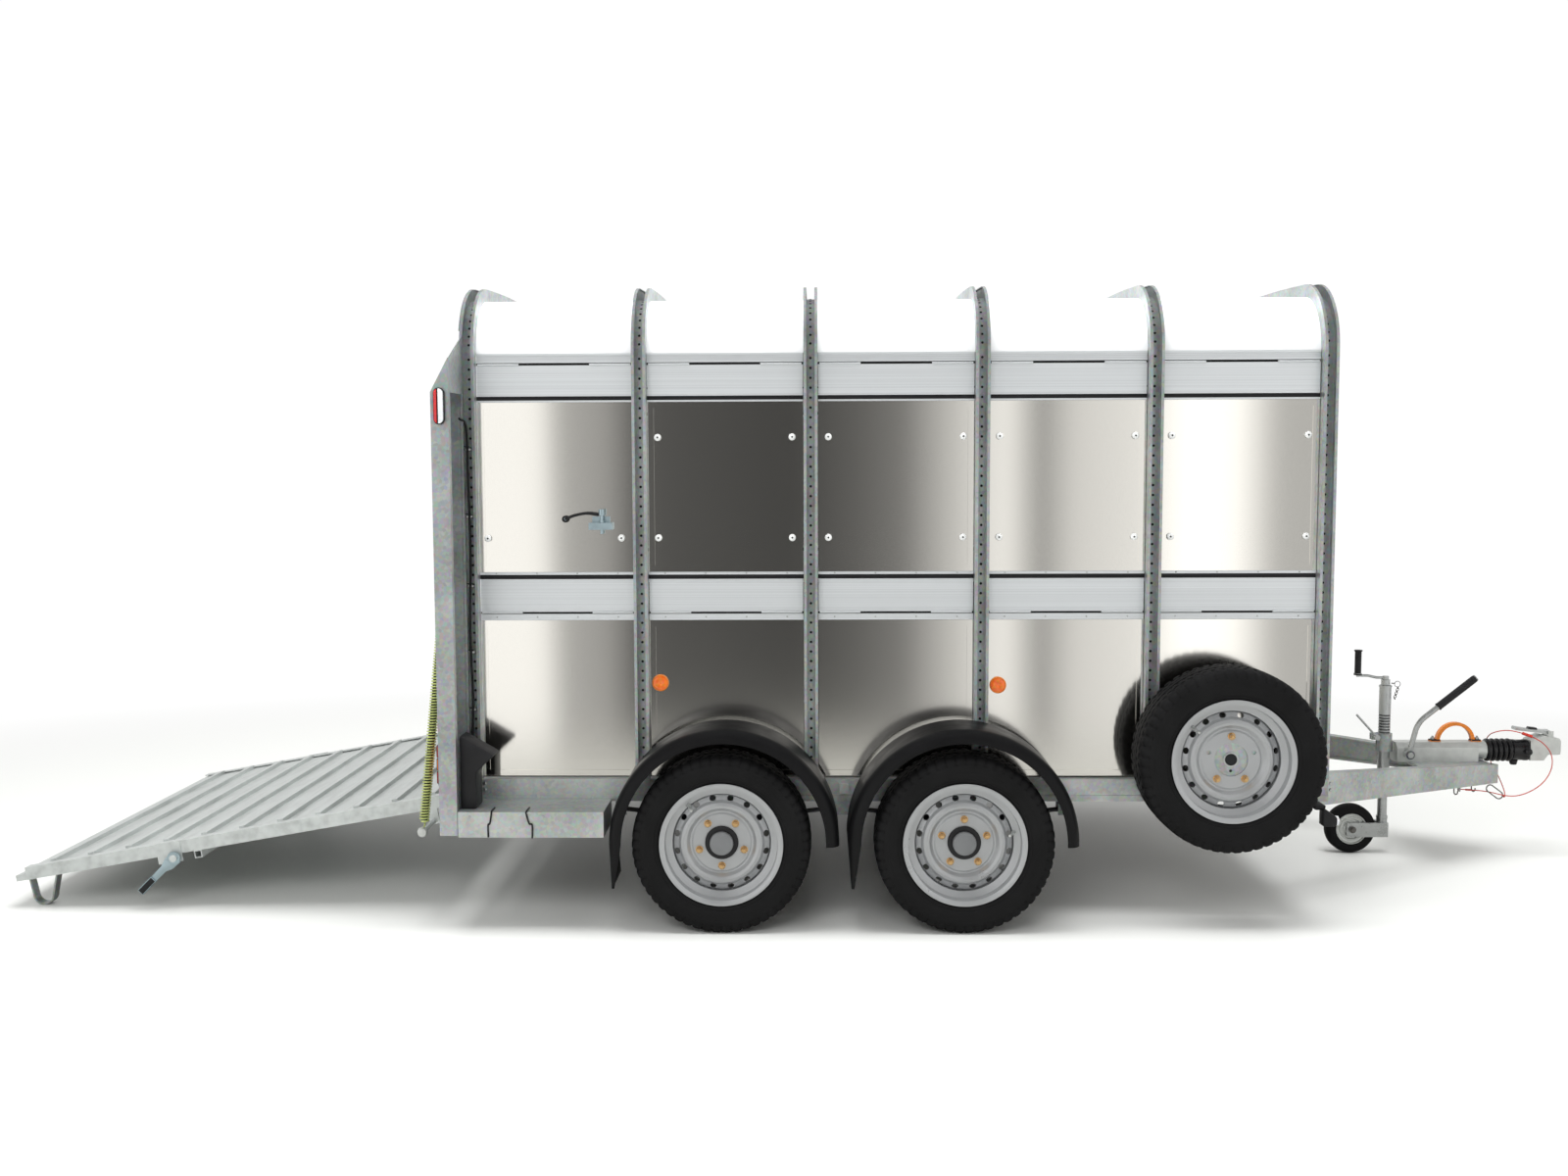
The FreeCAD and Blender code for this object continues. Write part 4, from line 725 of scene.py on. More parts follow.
# ---------------------------------------------------------------- lamps
def add_lamps():
    pieces = []
    for side in (-1, 1):
        where = side_name(side)
        pieces += [rear_lamp(where, side), side_marker(where, side), reflectors(where, side),
                   front_marker(where, side)]
    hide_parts("lamps")


def mirrored(points, side):
    """Points given for the -Y side, put on the side asked for."""
    return [(x, -side * y, z) for x, y, z in points]


def rear_lamp(where, side):
    bm = bmesh.new()
    x = WING_X
    shell = [(x + 0.064, 0.431), (x + 0.064, 0.69), (x + 0.09, 0.676), (-1.198, 0.62), (-1.262, 0.56),
             (-1.262, 0.431)]
    slab(bm, mirrored([(px, -1.09, pz) for px, pz in shell], side), (0, -side * 0.105, 0), 0.006, 0)
    near, far = sorted((side * 1.104, side * 0.961))
    block(bm, (x - 0.01, near, 0.516), (x, far, 0.664), 0.003, 0)
    near, far = sorted((side * 1.098, side * 0.967))
    for z0, z1, finish in ((0.522, 0.566, 1), (0.568, 0.612, 2), (0.614, 0.658, 1)):
        block(bm, (x - 0.0158, near, z0), (x - 0.006, far, z1), 0.003, finish)
    return piece("rear_lamp_" + where, bm, TRAILER, ["black", "lens_red", "lens_amber"])


def stadium(x, z, half_w, half_h, y, steps=14):
    """Upright oval outline with straight sides, at the given y."""
    points = []
    straight = half_h - half_w
    for k in range(2 * steps):
        angle = math.pi * (k + 0.5) / steps
        rise = straight if math.sin(angle) > 0 else -straight
        points.append((x + half_w * math.cos(angle), y, z + rise + half_w * math.sin(angle)))
    return points


def side_marker(where, side):
    """Upright oval marker on the rear wing: red at the back, white in front, in a dark ring."""
    x = WING_X + 0.031
    z = 1.836
    bm = bmesh.new()
    face = side * WING_Y
    slab(bm, stadium(x, z, 0.019, 0.0625, face), (0, side * 0.012, 0), 0.002, 0)
    oval = stadium(x, z, 0.0165, 0.06, face + side * 0.01)
    border = x - 0.0045
    back = [p for p in oval if p[0] <= border]
    start = next(k for k in range(len(oval)) if oval[k - 1][0] <= border < oval[k][0])
    front = [p for p in oval[start:] + oval[:start] if p[0] > border]
    slab(bm, back, (0, side * 0.006, 0), 0.0008, 1)
    slab(bm, front, (0, side * 0.006, 0), 0.0008, 2)
    finishes = ["hole", "lens_red", "lens_white"]
    return piece("side_marker_" + where, bm, TRAILER, finishes)


def reflectors(where, side):
    bm = bmesh.new()
    for x, z in ((-0.631, 0.847), (0.587, 0.838)):
        centre = (x, side * (PANEL_FACE - 0.002), z)
        rim = [(0.0, 0.03), (0.0065, 0.03), (0.008, 0.0285), (0.008, 0.0268), (0.0055, 0.0262),
               (0.0055, 0.0)]
        lathe(bm, centre, (0, side, 0), rim, 48, 0)
        dome = [(0.005, 0.0262), (0.007, 0.0255), (0.0078, 0.02), (0.008, 0.006), (0.0074, 0.0045),
                (0.0074, 0.0)]
        lathe(bm, centre, (0, side, 0), dome, 48, 1)
        for k in range(3):
            offset = upright(90 + 120 * k) * 0.0145 + Vector((0, side * 0.0078, 0))
            spot = [(0.0, 0.0052), (0.0006, 0.0046), (0.0006, 0.0)]
            lathe(bm, Vector(centre) + offset, (0, side, 0), spot, 20, 0)
    return piece("reflectors_" + where, bm, TRAILER, ["orange", "lens_orange"])


def front_marker(where, side):
    """White lamp in a rubber head, on a rubber arm under the front end of the side rail."""
    bm = bmesh.new()
    arm = [(1.7, 0.404), (1.735, 0.404), (1.74, 0.42), (1.7, 0.42)]
    slab(bm, mirrored([(x, -0.985, z) for x, z in arm], side), (0, -side * 0.105, 0), 0.004, 0)
    head = [(1.722, 0.35), (1.766, 0.35), (1.772, 0.356), (1.772, 0.382), (1.735, 0.41), (1.722, 0.41)]
    slab(bm, mirrored([(x, -1.01, z) for x, z in head], side), (0, -side * 0.05, 0), 0.005, 0)
    centre = (1.771, side * 0.985, 0.367)
    lathe(bm, centre, (1, 0, 0), [(0.0, 0.017), (0.009, 0.017), (0.0125, 0.012), (0.013, 0.0)], 32, 1)
    return piece("front_marker_" + where, bm, TRAILER, ["black", "lens_white"])


# ---------------------------------------------------------------- springs, bellows and cable
def add_ramp_springs():
    """Two long coil springs, built at one length; the real ones shorten as the ramp closes."""
    low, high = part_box("ramp_springs")
    for side in (-1, 1):
        foot = Vector((low.x + 0.018, side * 1.02, low.z + 0.001))
        top = Vector((high.x - 0.018, side * 0.955, high.z + 0.001))
        coil_spring("ramp_spring_" + side_name(side), foot, top)
    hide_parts("ramp_springs")


def coil_spring(name, foot, top):
    along, across, up = axes_about(top - foot)
    turns = 70
    steps = 14
    length = (top - foot).length
    hook = 0.02
    points = [foot - along * 0.004 + across * 0.002]
    for k in range(turns * steps + 1):
        angle = 2 * math.pi * k / steps
        share = k / (turns * steps)
        end = min(share, 1 - share) * turns
        radius = 0.0155 * min(1.0, 0.25 + end)
        place = foot + along * (hook + (length - 2 * hook) * share)
        points.append(place + across * (radius * math.cos(angle)) + up * (radius * math.sin(angle)))
    points.append(top + across * 0.002)
    bm = bmesh.new()
    sweep(bm, points, 0.0029, 8, 0)
    # Painted shade: a black rod inside the coil shows dark between the turns.
    shade_core = [foot + along * (0.03 + (length - 0.06) * k / 6) for k in range(7)]
    sweep(bm, shade_core, 0.0118, 12, 1)
    made = piece(name, bm, TRAILER, ["coil", "black"], 60)
    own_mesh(made)
    return made


def add_leaf_springs():
    """Stacked leaves under both sides, in curved halves from the fixed eye to the axle's seat."""
    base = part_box("leaf_springs")[0].z
    made = []
    for axle in ("rear", "front"):
        x = middle("rim_" + axle + "_right").x
        for way in (-1, 1):
            bm = bmesh.new()
            for side in (-1, 1):
                half_spring(bm, x, way, side, base)
            half = piece("leaf_springs_%s_%s" % (axle, "behind" if way < 0 else "ahead"), bm, None,
                         ["spring_steel"])
            made.append((half, axle + "_axle", (x + way * 0.36, 0, base), (x + way * 0.06, 0, base)))
    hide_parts("leaf_springs")
    for half, axle, eye, seat in made:
        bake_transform(half)


def half_spring(bm, x, way, side, base):
    """Four leaves from the axle's seat to the eye, on one side of the trailer."""
    bend = 2.825
    thick = 0.0064
    near, far = sorted((side * 0.868, side * 0.912))
    for step, half in enumerate((0.15, 0.23, 0.3, 0.366)):
        rings = []
        for k in range(17):
            run = half * k / 16
            low = base + 0.007 * step + run * run / (2 * bend)
            place = x + way * run
            corners = ((near, low), (far, low), (far, low + thick), (near, low + thick))
            rings.append([Vector((place, y, z)) for y, z in corners])
        loft(bm, rings)
    reach = 0.375
    eye = Vector((x + way * reach, near, base + 0.0242 + reach * reach / (2 * bend)))
    width = far - near
    wall = [(0.0, 0.0075), (0.0, 0.012), (width, 0.012), (width, 0.0075), (0.0, 0.0075)]
    rings = [ring_points(eye + Vector((0, along, 0)), Vector((1, 0, 0)), Vector((0, 0, 1)), radius, 28)
             for along, radius in wall]
    loft(bm, rings, caps=False)
    bmesh.ops.remove_doubles(bm, verts=bm.verts, dist=1e-6)
    bmesh.ops.recalc_face_normals(bm, faces=bm.faces)


def add_bellows():
    """Glossy folds between the housing and the head, with the stiff collar, stub and knob."""
    low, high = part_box("bellows")
    shaft_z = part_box("coupling_housing")[0].z + 0.042
    start = low.x
    fold = 0.0216
    profile = [(start + 0.0002, 0.0276), (start + 0.0002, 0.0385)]
    for k in range(5):
        for step in range(9):
            share = step / 8
            swell = math.sin(math.pi * share) ** 0.5 if 0 < share < 1 else 0.0
            profile.append((start + 0.001 + fold * (k + share * 0.97), 0.037 + 0.011 * swell))
    collar = start + 5 * fold
    profile += [(collar + 0.001, 0.0445), (collar + 0.014, 0.0445), (collar + 0.018, 0.043),
                (collar + 0.052, 0.043), (collar + 0.054, 0.0445), (high.x - 0.002, 0.0445),
                (high.x - 0.0004, 0.043), (high.x - 0.0004, 0.0276)]
    bm = bmesh.new()
    lathe(bm, (0, 0, shaft_z), (1, 0, 0), profile, 56)
    lathe(bm, (2.846, 0, shaft_z - 0.043), (0, 0, -1),
          [(0.0, 0.0175), (0.006, 0.016), (0.016, 0.014), (0.019, 0.011), (0.019, 0.0)], 28)
    knob = [(0.0, 0.013), (0.006, 0.013), (0.008, 0.015), (0.016, 0.015), (0.0195, 0.012), (0.02, 0.0)]
    lathe(bm, (2.884, -0.04, shaft_z), (0, -1, 0), knob, 32)
    made = piece("rubber_bellows", bm, None, ["gloss_black"], 60)
    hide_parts("bellows")
    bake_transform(made)


def add_breakaway_cable():
    curve = bpy.data.curves.new("breakaway_line", "CURVE")
    curve.dimensions = "3D"
    curve.bevel_depth = 0.002
    curve.bevel_resolution = 3
    curve.use_fill_caps = True
    spline = curve.splines.new("NURBS")
    spline.points.add(len(CABLE_ROUTE) - 1)
    for point, place in zip(spline.points, CABLE_ROUTE):
        point.co = (*place, 1.0)
    spline.order_u = 3
    spline.use_endpoint_u = True
    spline.resolution_u = 10
    curve.materials.append(MATERIALS["cable_red"])
    line = add_object("breakaway_line", curve)
    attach(line, TRAILER)
    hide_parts("breakaway_cable")
    ferrules = cable_ferrules()


def cable_ferrules():
    """Pressed sleeves at the clip, at the guide eye and beside the head."""
    bm = bmesh.new()
    sleeves = ((12, 1, 0.8, 0.0062), (23, 1, 0.42, 0.0038), (1, -1, 0.42, 0.0038))
    for centre, ahead, share, radius in sleeves:
        a = Vector(CABLE_ROUTE[centre])
        b = Vector(CABLE_ROUTE[centre + ahead])
        sweep(bm, [a, a.lerp(b, share)], radius, 14)
    return piece("cable_ferrules", bm, TRAILER, ["cable_red"], 30)


# ---------------------------------------------------------------- drawbar details
def add_handbrake_grip():
    tip = Vector((2.645, -0.066, 0.742))
    bend = Vector((2.419, -0.066, 0.56))
    along = (tip - bend).normalized()
    end = tip + along * 0.0085
    profile = [(-0.1965, 0.0115), (-0.1965, 0.015), (-0.1945, 0.0163), (-0.191, 0.0163), (-0.189, 0.0152),
               (-0.06, 0.0155), (-0.009, 0.0152), (-0.0045, 0.014), (-0.0015, 0.011), (0.0, 0.006),
               (0.0002, 0.0)]
    bm = bmesh.new()
    lathe(bm, end, along, profile, 28)
    piece("handbrake_grip", bm, "handbrake", ["black"])
    bm = bmesh.new()
    lathe(bm, (2.386, -0.0835, 0.427), (0, -1, 0),
          [(0.0, 0.0185), (0.0018, 0.0185), (0.0018, 0.0086), (0.0, 0.0086)], 36)
    piece("handbrake_washer", bm, TRAILER, ["galvanised_dark"])


def add_jack_details():
    low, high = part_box("crank_handle")
    x = low.x + 0.016
    bm = bmesh.new()
    grip = [(-0.1045, 0.0165), (-0.0985, 0.0165), (-0.0965, 0.0134), (-0.006, 0.0134), (-0.005, 0.0165),
            (0.0002, 0.0165), (0.0006, 0.015), (0.0006, 0.0)]
    lathe(bm, (x, 0, high.z), (0, 0, 1), grip, 32)
    piece("crank_grip", bm, "crank", ["black"])
    bm = bmesh.new()
    column_x = 2.307
    pin = [(column_x + 0.02, -0.01, 0.716), (column_x + 0.034, -0.014, 0.716)]
    sweep(bm, pin, 0.0022, 10)
    sweep(bm, loop((column_x + 0.044, -0.014, 0.713), 0.012, (0, 1, 0)), 0.0013, 8)
    for k in range(7):
        turn_axis = (0, 1, 0) if k % 2 else (1, 0, 0.4)
        way = 0.046 - 0.0022 * k
        sweep(bm, loop((column_x + way, -0.016, 0.697 - 0.0072 * k), 0.005, turn_axis), 0.0014, 8)
    piece("jack_safety_pin", bm, "jack", ["chain"], 60)


def loop(centre, radius, axis, steps=20):
    _, across, up = axes_about(axis)
    return ring_points(Vector(centre), across, up, radius, steps) + [Vector(centre) + across * radius]


def add_jack_groove_shades():
    """Dark bands set in the grooves round the lower half of the outer tube, as painted shade in the
    grooves, and the wheel's axle bolt.
    """
    radius = (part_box("jack_outer")[1].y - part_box("jack_outer")[0].y) / 2 - 0.0034
    bm = bmesh.new()
    # Painted shade: a dark band in each groove of the outer tube.
    for k in range(7):
        z = 0.5073 + 0.012 * k
        band = [(0.0, radius - 0.001), (0.0, radius), (0.0044, radius), (0.0044, radius - 0.001)]
        lathe(bm, (middle("jack_outer").x, 0, z), (0, 0, 1), band, 40)
    piece("jack_groove_shades", bm, "jack", ["spring_steel"])
    wheel = middle("jockey_wheel")
    bm = bmesh.new()
    for side in (-1, 1):
        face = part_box("jockey_fork")[1].y * side
        head = [(0.002, 0.01), (0.0085, 0.01), (0.0095, 0.0085), (0.0095, 0.0)]
        foot = (wheel.x, face, wheel.z)
        lathe(bm, foot, (0, side, 0), [(0.0, 0.014), (0.002, 0.014), (0.002, 0.0)], 28)
        lathe(bm, foot, (0, side, 0), head, 6)
    piece("jockey_bolt", bm, "jockey_fork", ["chain"], 30)


def add_lever_pad():
    """Black thumb piece on top of the coupling head's lever."""
    bm = bmesh.new()
    corners = [(2.898, 0.5235), (2.936, 0.5195), (2.934, 0.5285), (2.902, 0.532)]
    slab(bm, [(x, -0.012, z) for x, z in corners], (0, 0.024, 0), 0.0015)
    piece("lever_pad", bm, "coupling_lever", ["gloss_black"])


def add_drawbar_hooks():
    """Small open hooks under the drawbar's right beam."""
    bm = bmesh.new()
    for x, y, z in ((2.62, -0.13, 0.296), (2.54, -0.152, 0.288)):
        way = [(x, y, z + 0.016), (x, y, z), (x + 0.003, y, z - 0.008), (x + 0.009, y, z - 0.01),
               (x + 0.014, y, z - 0.006), (x + 0.015, y, z + 0.003)]
        sweep(bm, curve_through(way, 4), 0.0026, 10)
    piece("drawbar_hooks", bm, TRAILER, ["chain"], 60)


def add_ramp_catches():
    """Catch levers: a round boss, a pressed plate and a flat black grip at the end."""
    along = Vector((-0.705, 0, -0.709))
    across = Vector((0.709, 0, -0.705))
    for side in (-1, 1):
        where = side_name(side)
        low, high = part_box("ramp_catch_" + where)
        end = Vector((low.x + 0.0067, (low.y + high.y) / 2, low.z + 0.0067))
        pivot = end - along * 0.1823
        bm = bmesh.new()
        plate = [(-0.006, -0.024), (0.03, -0.021), (0.058, -0.0125), (0.122, -0.0115), (0.122, 0.0115),
                 (0.058, 0.0135), (0.036, 0.024), (-0.006, 0.027)]
        start = Vector((0, -0.0025, 0))
        slab(bm, [pivot + along * a + across * b + start for a, b in plate], (0, 0.005, 0), 0.0008, 0)
        boss = [(-0.004, 0.0), (-0.004, 0.0215), (0.0035, 0.0215), (0.0035, 0.0245), (0.0065, 0.0245),
                (0.0075, 0.0235), (0.0075, 0.011), (0.009, 0.01), (0.009, 0.0)]
        lathe(bm, pivot, (0, side, 0), boss, 40, 0)
        grip = [(0.11, -0.0135), (0.1835, -0.0135), (0.1835, 0.0135), (0.11, 0.0135)]
        start = Vector((0, -0.0065, 0))
        slab(bm, [pivot + along * a + across * b + start for a, b in grip], (0, 0.013, 0), 0.003, 1)
        body = "ramp_catch_" + where
        made = piece("catch_lever_" + where, bm, body, ["blue_zinc", "black"], 40)
        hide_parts(body)


def add_spring_pegs():
    """Domed pegs on the ramp's sides that hold the springs' lower ends."""
    peg = [(0.0, 0.015), (0.008, 0.0185), (0.018, 0.0185), (0.024, 0.015), (0.0265, 0.008),
           (0.027, 0.0)]
    for side in (-1, 1):
        bm = bmesh.new()
        lathe(bm, (-1.4698, side * 1.02, 0.3347), (0, side, 0), peg, 36)
        piece("spring_peg_" + side_name(side), bm, "ramp", ["pale_zinc"], 40)


def add_handle_feet():
    low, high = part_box("grab_handle")
    centre_x = (low.x + high.x) / 2
    bm = bmesh.new()
    for side in (-1, 1):
        x = centre_x + side * 0.084
        block(bm, (x - 0.0212, -0.0142, low.z + 0.0002), (x + 0.0212, 0.0142, low.z + 0.0085), 0.003, 0)
        top = (centre_x + side * 0.092, 0, low.z + 0.008)
        nut_side = [(0.0, 0.0085), (0.0065, 0.0085), (0.0075, 0.007), (0.0075, 0.0045)]
        stud = [(0.007, 0.0045), (0.0135, 0.0045), (0.0142, 0.0035), (0.0142, 0.0)]
        lathe(bm, top, (0, 0, 1), nut_side, 6, 1)
        lathe(bm, top, (0, 0, 1), stud, 16, 1)
    piece("grab_handle_feet", bm, TRAILER, ["black", "zinc"])


def add_latch_strap():
    """Rubber strap from the eye on the panel to the latch pin."""
    eye = Vector((-0.966, -0.888, 1.441))
    pin = middle("latch_pin") + Vector((-0.01, -0.004, 0.024))
    way = curve_through([eye, eye + Vector((0.03, -0.006, 0.012)), eye + Vector((0.07, -0.01, 0.02)),
                         pin + Vector((-0.024, 0, 0.004)), pin])
    bm = bmesh.new()
    sweep(bm, way, 0.0052, 12)
    sweep(bm, loop(eye + Vector((0, -0.002, 0)), 0.0085, (0, 1, 0)), 0.0042, 10)
    made = piece("latch_strap", bm, None, ["black"], 60)
    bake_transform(made)


# ---------------------------------------------------------------- small parts on the body
def hoop_line(depth):
    """Evenly spaced points round one hoop, this far inside its outer line, with inward directions."""
    radius = CORNER_RADIUS - depth
    side_y = HOOP_Y - depth
    centre_y = HOOP_Y - CORNER_RADIUS
    spacing = 0.035
    found = []
    z = post_low.z + 0.04
    while z < EAVES:
        found.append((Vector((0, -side_y, z)), Vector((0, 1, 0))))
        z += spacing
    quarter = math.radians(87)
    steps = int(CORNER_RADIUS * quarter / spacing)
    for k in range(1, steps + 1):
        angle = quarter * k / steps
        inward = Vector((0, math.cos(angle), -math.sin(angle)))
        found.append((Vector((0, -centre_y, EAVES)) - inward * radius, inward))
    return found


def add_hoop_holes():
    """The row of punched holes along the web of every hoop, as small near-black discs of painted shade.
    """
    bm = bmesh.new()
    depth = HOOP_WEB - 0.0005
    for x in HOOP_X:
        for place, inward in hoop_line(depth):
            for flip in (1, -1):
                centre = Vector((x, place.y * flip, place.z))
                axis = Vector((0, -inward.y * flip, -inward.z))
                # Painted shade: a near-black disc for the dark seen through each hole.
                lathe(bm, centre, axis, [(0.0, 0.0048), (0.0003, 0.0048), (0.0003, 0.0)], 10)
    piece("hoop_holes", bm, TRAILER, ["hole"], 20)


def add_bay_gap_shadows():
    """Black strips in the gaps along the flaps' edges in every bay, as painted shadow in the gaps, and
    caps over the panels' bolts.
    """
    bm = bmesh.new()
    caps = bmesh.new()
    # Painted shadow: black strips fill the see-through gaps above and below the flaps.
    gap_shadow_strips = ((1.8645, 1.8785, 0.874), (1.2245, 1.2395, 0.874), (1.989, 1.9965, 0.87),
              (1.0985, 1.1055, 0.87))
    for side in (-1, 1):
        for k in range(HOOP_COUNT - 1):
            x0 = HOOP_X[k] + HOOP_WIDTH / 2
            x1 = HOOP_X[k + 1] - HOOP_WIDTH / 2
            for z0, z1, y in gap_shadow_strips:
                near, far = sorted((side * y, side * 0.862))
                block(bm, (x0, near, z0), (x1, far, z1), 0.0, 0)
            left, right = (0.058, 0.07) if k == 0 else (0.063, 0.066)
            for x in (HOOP_X[k] + left, HOOP_X[k + 1] - right):
                for z in (1.372,) if k == 0 else (1.372, 1.731):
                    bolt_cap(caps, (x, side * 0.885, z), side)
    piece("bay_gap_shadows", bm, TRAILER, ["black"])
    piece("bolt_caps", caps, TRAILER, ["bolt_cap", "hole"], 40)


def bolt_cap(bm, centre, side):
    dome = [(-0.003, 0.0125), (0.002, 0.0125), (0.0045, 0.0105), (0.0055, 0.006), (0.0056, 0.0034)]
    lathe(bm, centre, (0, side, 0), dome, 28, 0)
    # Painted shade: a near-black disc for the hole in the cap's top.
    lathe(bm, centre, (0, side, 0), [(0.005, 0.0034), (0.0058, 0.0034), (0.0058, 0.0)], 16, 1)


def add_rear_cable():
    """Cable down the rear hoop's channel, tied at intervals, that feeds the marker and rear lamps."""
    x = HOOP_X[0] - 0.006
    for side in (-1, 1):
        y = side * 0.904
        near, far = sorted((side * 0.88, side * 0.893))
        route = [(x - 0.02, side * 0.935, 1.8), (x - 0.004, y, 1.77), (x, y, 1.6), (x + 0.004, y, 1.32),
                 (x - 0.003, y, 1.05), (x + 0.002, y, 0.8), (x - 0.002, y, 0.66), (x, side * 0.925, 0.6)]
        bm = bmesh.new()
        sweep(bm, curve_through(route), 0.0042, 10, 0)
        for z in (1.7, 1.46, 1.21, 0.97, 0.76):
            centre = Vector((x, y, z))
            sweep(bm, loop(centre, 0.0068, (0, 0, 1)), 0.0016, 8, 0)
            ends = (Vector((-0.006, side * 0.003, 0)), Vector((-0.012, side * 0.012, 0.004)))
            sweep(bm, [centre + end for end in ends], 0.0014, 6, 0)
            block(bm, (x - 0.011, near, z - 0.013), (x + 0.011, far, z - 0.005), 0.001, 1)
        name = "rear_cable_" + side_name(side)
        piece(name, bm, TRAILER, ["black", "white"], 60)


def add_step_cables():
    """Two thin cables over the step box's top edge and down its face, and its screws."""
    low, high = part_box("rear_steps")
    for side in (-1, 1):
        face = WING_Y + 0.0032
        bm = bmesh.new()
        for x0, x1, foot in ((-1.2, -1.212, 0.342), (-1.078, -1.058, 0.338)):
            way = [(x0, face - 0.06, high.z + 0.003), (x0, face - 0.008, high.z + 0.003),
                   (x0, face, high.z - 0.006), ((x0 + x1) / 2, face, high.z - 0.04), (x1, face, 0.385),
                   (x1, face, foot)]
            sweep(bm, curve_through([(x, side * y, z) for x, y, z in way]), 0.003, 8, 0)
        for x in (low.x + 0.04, -1.02, high.x - 0.04):
            lathe(bm, (x, side * WING_Y, high.z - 0.018), (0, side, 0),
                  [(0.0, 0.006), (0.002, 0.0055), (0.0032, 0.003), (0.0034, 0.0)], 16, 1)
        name = "step_cables_" + side_name(side)
        piece(name, bm, TRAILER, ["black", "zinc"], 40)


def add_panel_rivets():
    """Round rivets along the rails under the lower panels and along the gutter."""
    bm = bmesh.new()
    for side in (-1, 1):
        for k in range(HOOP_COUNT - 1):
            span = HOOP_X[k + 1] - HOOP_X[k]
            for share in (0.14, 0.38, 0.62, 0.86):
                x = HOOP_X[k] + span * share
                for z in (1.087, 1.245):
                    lathe(bm, (x, side * (PANEL_FACE + 0.0018), z), (0, side, 0),
                          [(0.0, 0.0034), (0.0012, 0.0028), (0.0016, 0.0)], 12)
        for x in HOOP_X:
            for z in (0.462, 0.485):
                lathe(bm, (x + 0.034, side * 0.9149, z), (0, side, 0),
                      [(0.0, 0.0075), (0.004, 0.0075), (0.0048, 0.006), (0.0048, 0.0)], 6)
    piece("rivets", bm, TRAILER, ["zinc"], 30)


# ---------------------------------------------------------------- studio
def add_camera():
    """Camera at about eye height, square on to the trailer's right-hand side."""
    data = bpy.data.cameras.new("camera")
    data.sensor_width = 36.0
    data.lens = CAMERA_LENS
    data.clip_end = 100.0
    camera = add_object("camera", data)
    pitch, yaw, roll = (math.radians(degrees) for degrees in CAMERA_TURN)
    level = Vector((-math.sin(yaw), math.cos(yaw), 0)) * math.cos(pitch)
    forward = level - Vector((0, 0, math.sin(pitch)))
    right = Vector((math.cos(yaw), math.sin(yaw), 0))
    up = right.cross(forward)
    tilted_right = right * math.cos(roll) + up * math.sin(roll)
    tilted_up = up * math.cos(roll) - right * math.sin(roll)
    turned = Matrix((tilted_right, tilted_up, -forward)).transposed().to_4x4()
    camera.matrix_world = Matrix.Translation(CAMERA_PLACE) @ turned
    bpy.context.scene.camera = camera


def add_floor():
    """Pale studio floor that fades out to the brightness of the white surround."""
    bm = bmesh.new()
    ring = ring_points(Vector((0, 0, 0)), Vector((1, 0, 0)), Vector((0, 1, 0)), 9.0, 96)
    bm.faces.new([bm.verts.new(p) for p in ring])
    mesh = bpy.data.meshes.new("floor")
    bm.to_mesh(mesh)
    bm.free()
    n = Nodes("floor", FLOOR_COLOUR, 0.0, 0.42)
    n.set("Specular IOR Level", 0.35)
    mirrored_ray = n.node("ShaderNodeLightPath").outputs["Is Glossy Ray"]
    # Painted reflection: the floor takes the darker colour only where bare metal mirrors it.
    n.colour(n.mix(mirrored_ray, FLOOR_COLOUR, FLOOR_PAINTED_DARK_IN_REFLECTIONS))
    distance = n.node("ShaderNodeVectorMath", operation="LENGTH")
    n.link(n.place((0.16, 0.22, 1.0)), distance.inputs[0])
    fade = n.grey(distance.outputs["Value"], 0.0, 1.0, 0.7, 1.15)
    glow = n.glow("ShaderNodeEmission", (1.0, 1.0, 1.0), SURROUND)
    clear = n.node("ShaderNodeBsdfTransparent").outputs[0]
    beyond = n.mix_shaders(mirrored_ray, glow, clear)
    shown = n.mix_shaders(fade, n.shader.outputs[0], beyond)
    n.link(shown, n.tree.nodes["Material Output"].inputs["Surface"])
    mesh.materials.append(n.material)
    add_object("floor", mesh)


def add_studio():
    """White surround, with the tall soft cards that bare metal mirrors in front of the trailer."""
    world = bpy.data.worlds.new("studio")
    bpy.context.scene.world = world
    t = Tree(world)
    cards = t.node("ShaderNodeBackground")
    t.link(card_colours(t), cards.inputs["Color"])
    rays = t.node("ShaderNodeLightPath").outputs
    fill = t.glow("ShaderNodeBackground", (1.0, 1.0, 0.985), AMBIENT)
    white = t.glow("ShaderNodeBackground", (1.0, 1.0, 1.0), SURROUND)
    lit = t.mix_shaders(rays["Is Glossy Ray"], fill, cards.outputs[0])
    seen = t.mix_shaders(rays["Is Camera Ray"], lit, white)
    t.link(seen, t.tree.nodes["World Output"].inputs["Surface"])
    add_softbox("softbox_top", (0.2, -0.8, 5.2), (0.2, 0.0, 0.0), (6.0, 3.2), 430.0)
    add_softbox("softbox_front", (-1.5, -6.5, 4.2), (0.2, -0.9, 0.9), (3.5, 2.0), 120.0)


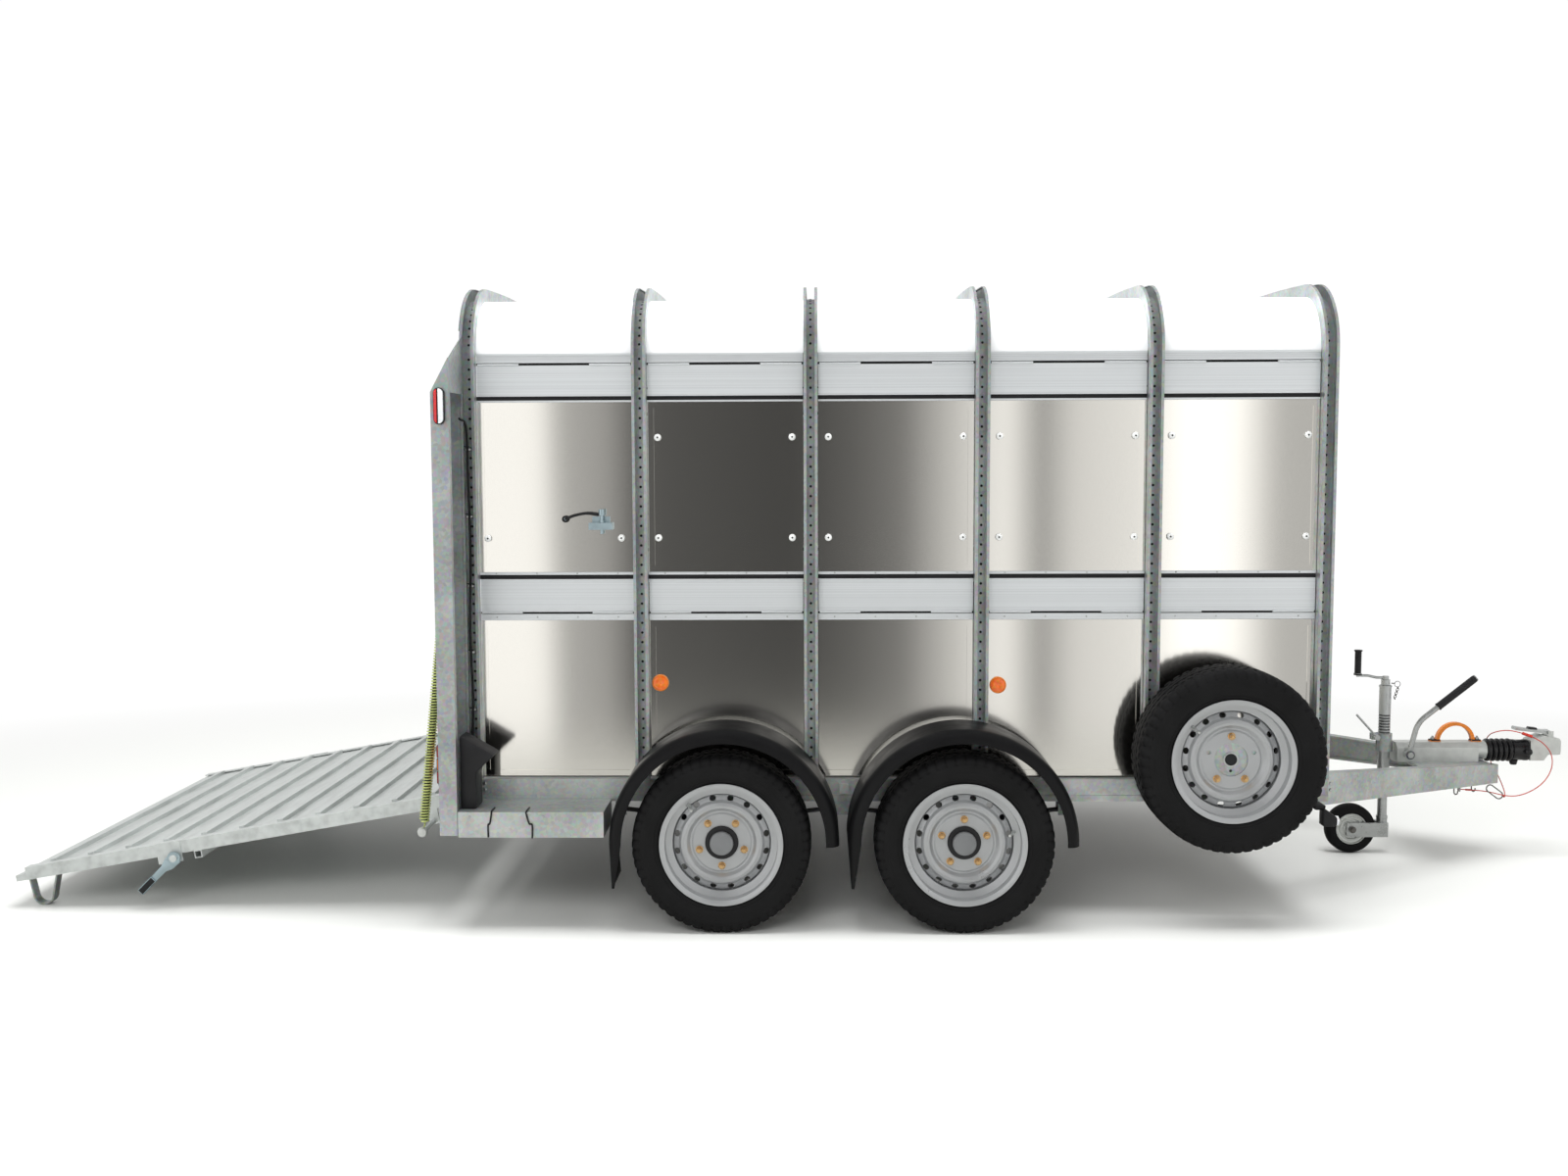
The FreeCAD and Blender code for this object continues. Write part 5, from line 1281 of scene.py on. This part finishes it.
def card_colours(t):
    """Brightness of the surround by how far left or right a mirrored ray goes as it comes forwards."""
    axes = t.node("ShaderNodeSeparateXYZ")
    t.link(t.node("ShaderNodeTexCoord").outputs["Generated"], axes.inputs[0])

    def math_node(operation, first, second):
        made = t.node("ShaderNodeMath", operation=operation)
        for socket, value in zip(made.inputs, (first, second)):
            if isinstance(value, float):
                socket.default_value = value
            else:
                t.link(value, socket)
        return made.outputs[0]

    forwards = math_node("MAXIMUM", math_node("MULTIPLY", axes.outputs["Y"], -1.0), 0.02)
    sideways = math_node("DIVIDE", axes.outputs["X"], forwards)
    band = t.node("ShaderNodeValToRGB")
    fill_ramp(band.color_ramp)
    t.link(t.grey(sideways, 0.0, 1.0, -0.3, 0.42), band.inputs["Fac"])
    overhead = t.grey(axes.outputs["Z"], 1.0, 0.42, 0.25, 0.6, interpolation_type="SMOOTHSTEP")
    scaled = t.node("ShaderNodeVectorMath", operation="SCALE")
    t.link(band.outputs["Color"], scaled.inputs[0])
    t.link(overhead, scaled.inputs["Scale"])
    return scaled.outputs["Vector"]


def fill_ramp(band):
    """Bright and dark cards, from the trailer's rear to its front, as (place, brightness)."""
    cards = [(0.00, 1.0), (0.165, 1.08), (0.185, 0.42), (0.225, 0.36), (0.255, 0.09), (0.4, 0.06),
             (0.455, 0.12), (0.5, 0.2), (0.545, 0.58), (0.595, 1.00), (0.625, 0.28), (0.655, 0.72),
             (0.72, 0.85), (0.76, 1.35), (0.8, 1.25), (0.84, 0.48), (0.9, 0.5), (1.00, 0.85)]
    elements = band.elements
    while len(elements) < len(cards):
        elements.new(0.5)
    for element, (place, value) in zip(elements, cards):
        element.position = place
        element.color = (value, value * 0.995, value * 0.98, 1)


def add_softbox(name, place, target, size, power):
    """Area light that lights the trailer without showing up as a bright patch on bare metal."""
    data = bpy.data.lights.new(name, "AREA")
    data.shape = "RECTANGLE"
    data.size, data.size_y = size
    data.energy = power
    light = add_object(name, data)
    light.location = place
    light.rotation_euler = (Vector(target) - Vector(place)).to_track_quat("-Z", "Y").to_euler()
    light.visible_camera = False
    light.visible_glossy = False


# ---------------------------------------------------------------- build
add_camera()
add_breakaway_cable()
finish_cad_nodes()
add_tyres()
add_wheel_details()
add_jockey_wheel()
add_mudguards()
add_lamps()
add_ramp_springs()
add_leaf_springs()
add_bellows()
add_handbrake_grip()
add_jack_details()
add_handle_feet()
add_jack_groove_shades()
add_lever_pad()
add_drawbar_hooks()
add_ramp_catches()
add_spring_pegs()
add_latch_strap()
add_hoop_holes()
add_bay_gap_shadows()
add_rear_cable()
add_step_cables()
add_panel_rivets()
add_floor()
add_studio()
bpy.context.scene.view_settings.view_transform = "Standard"
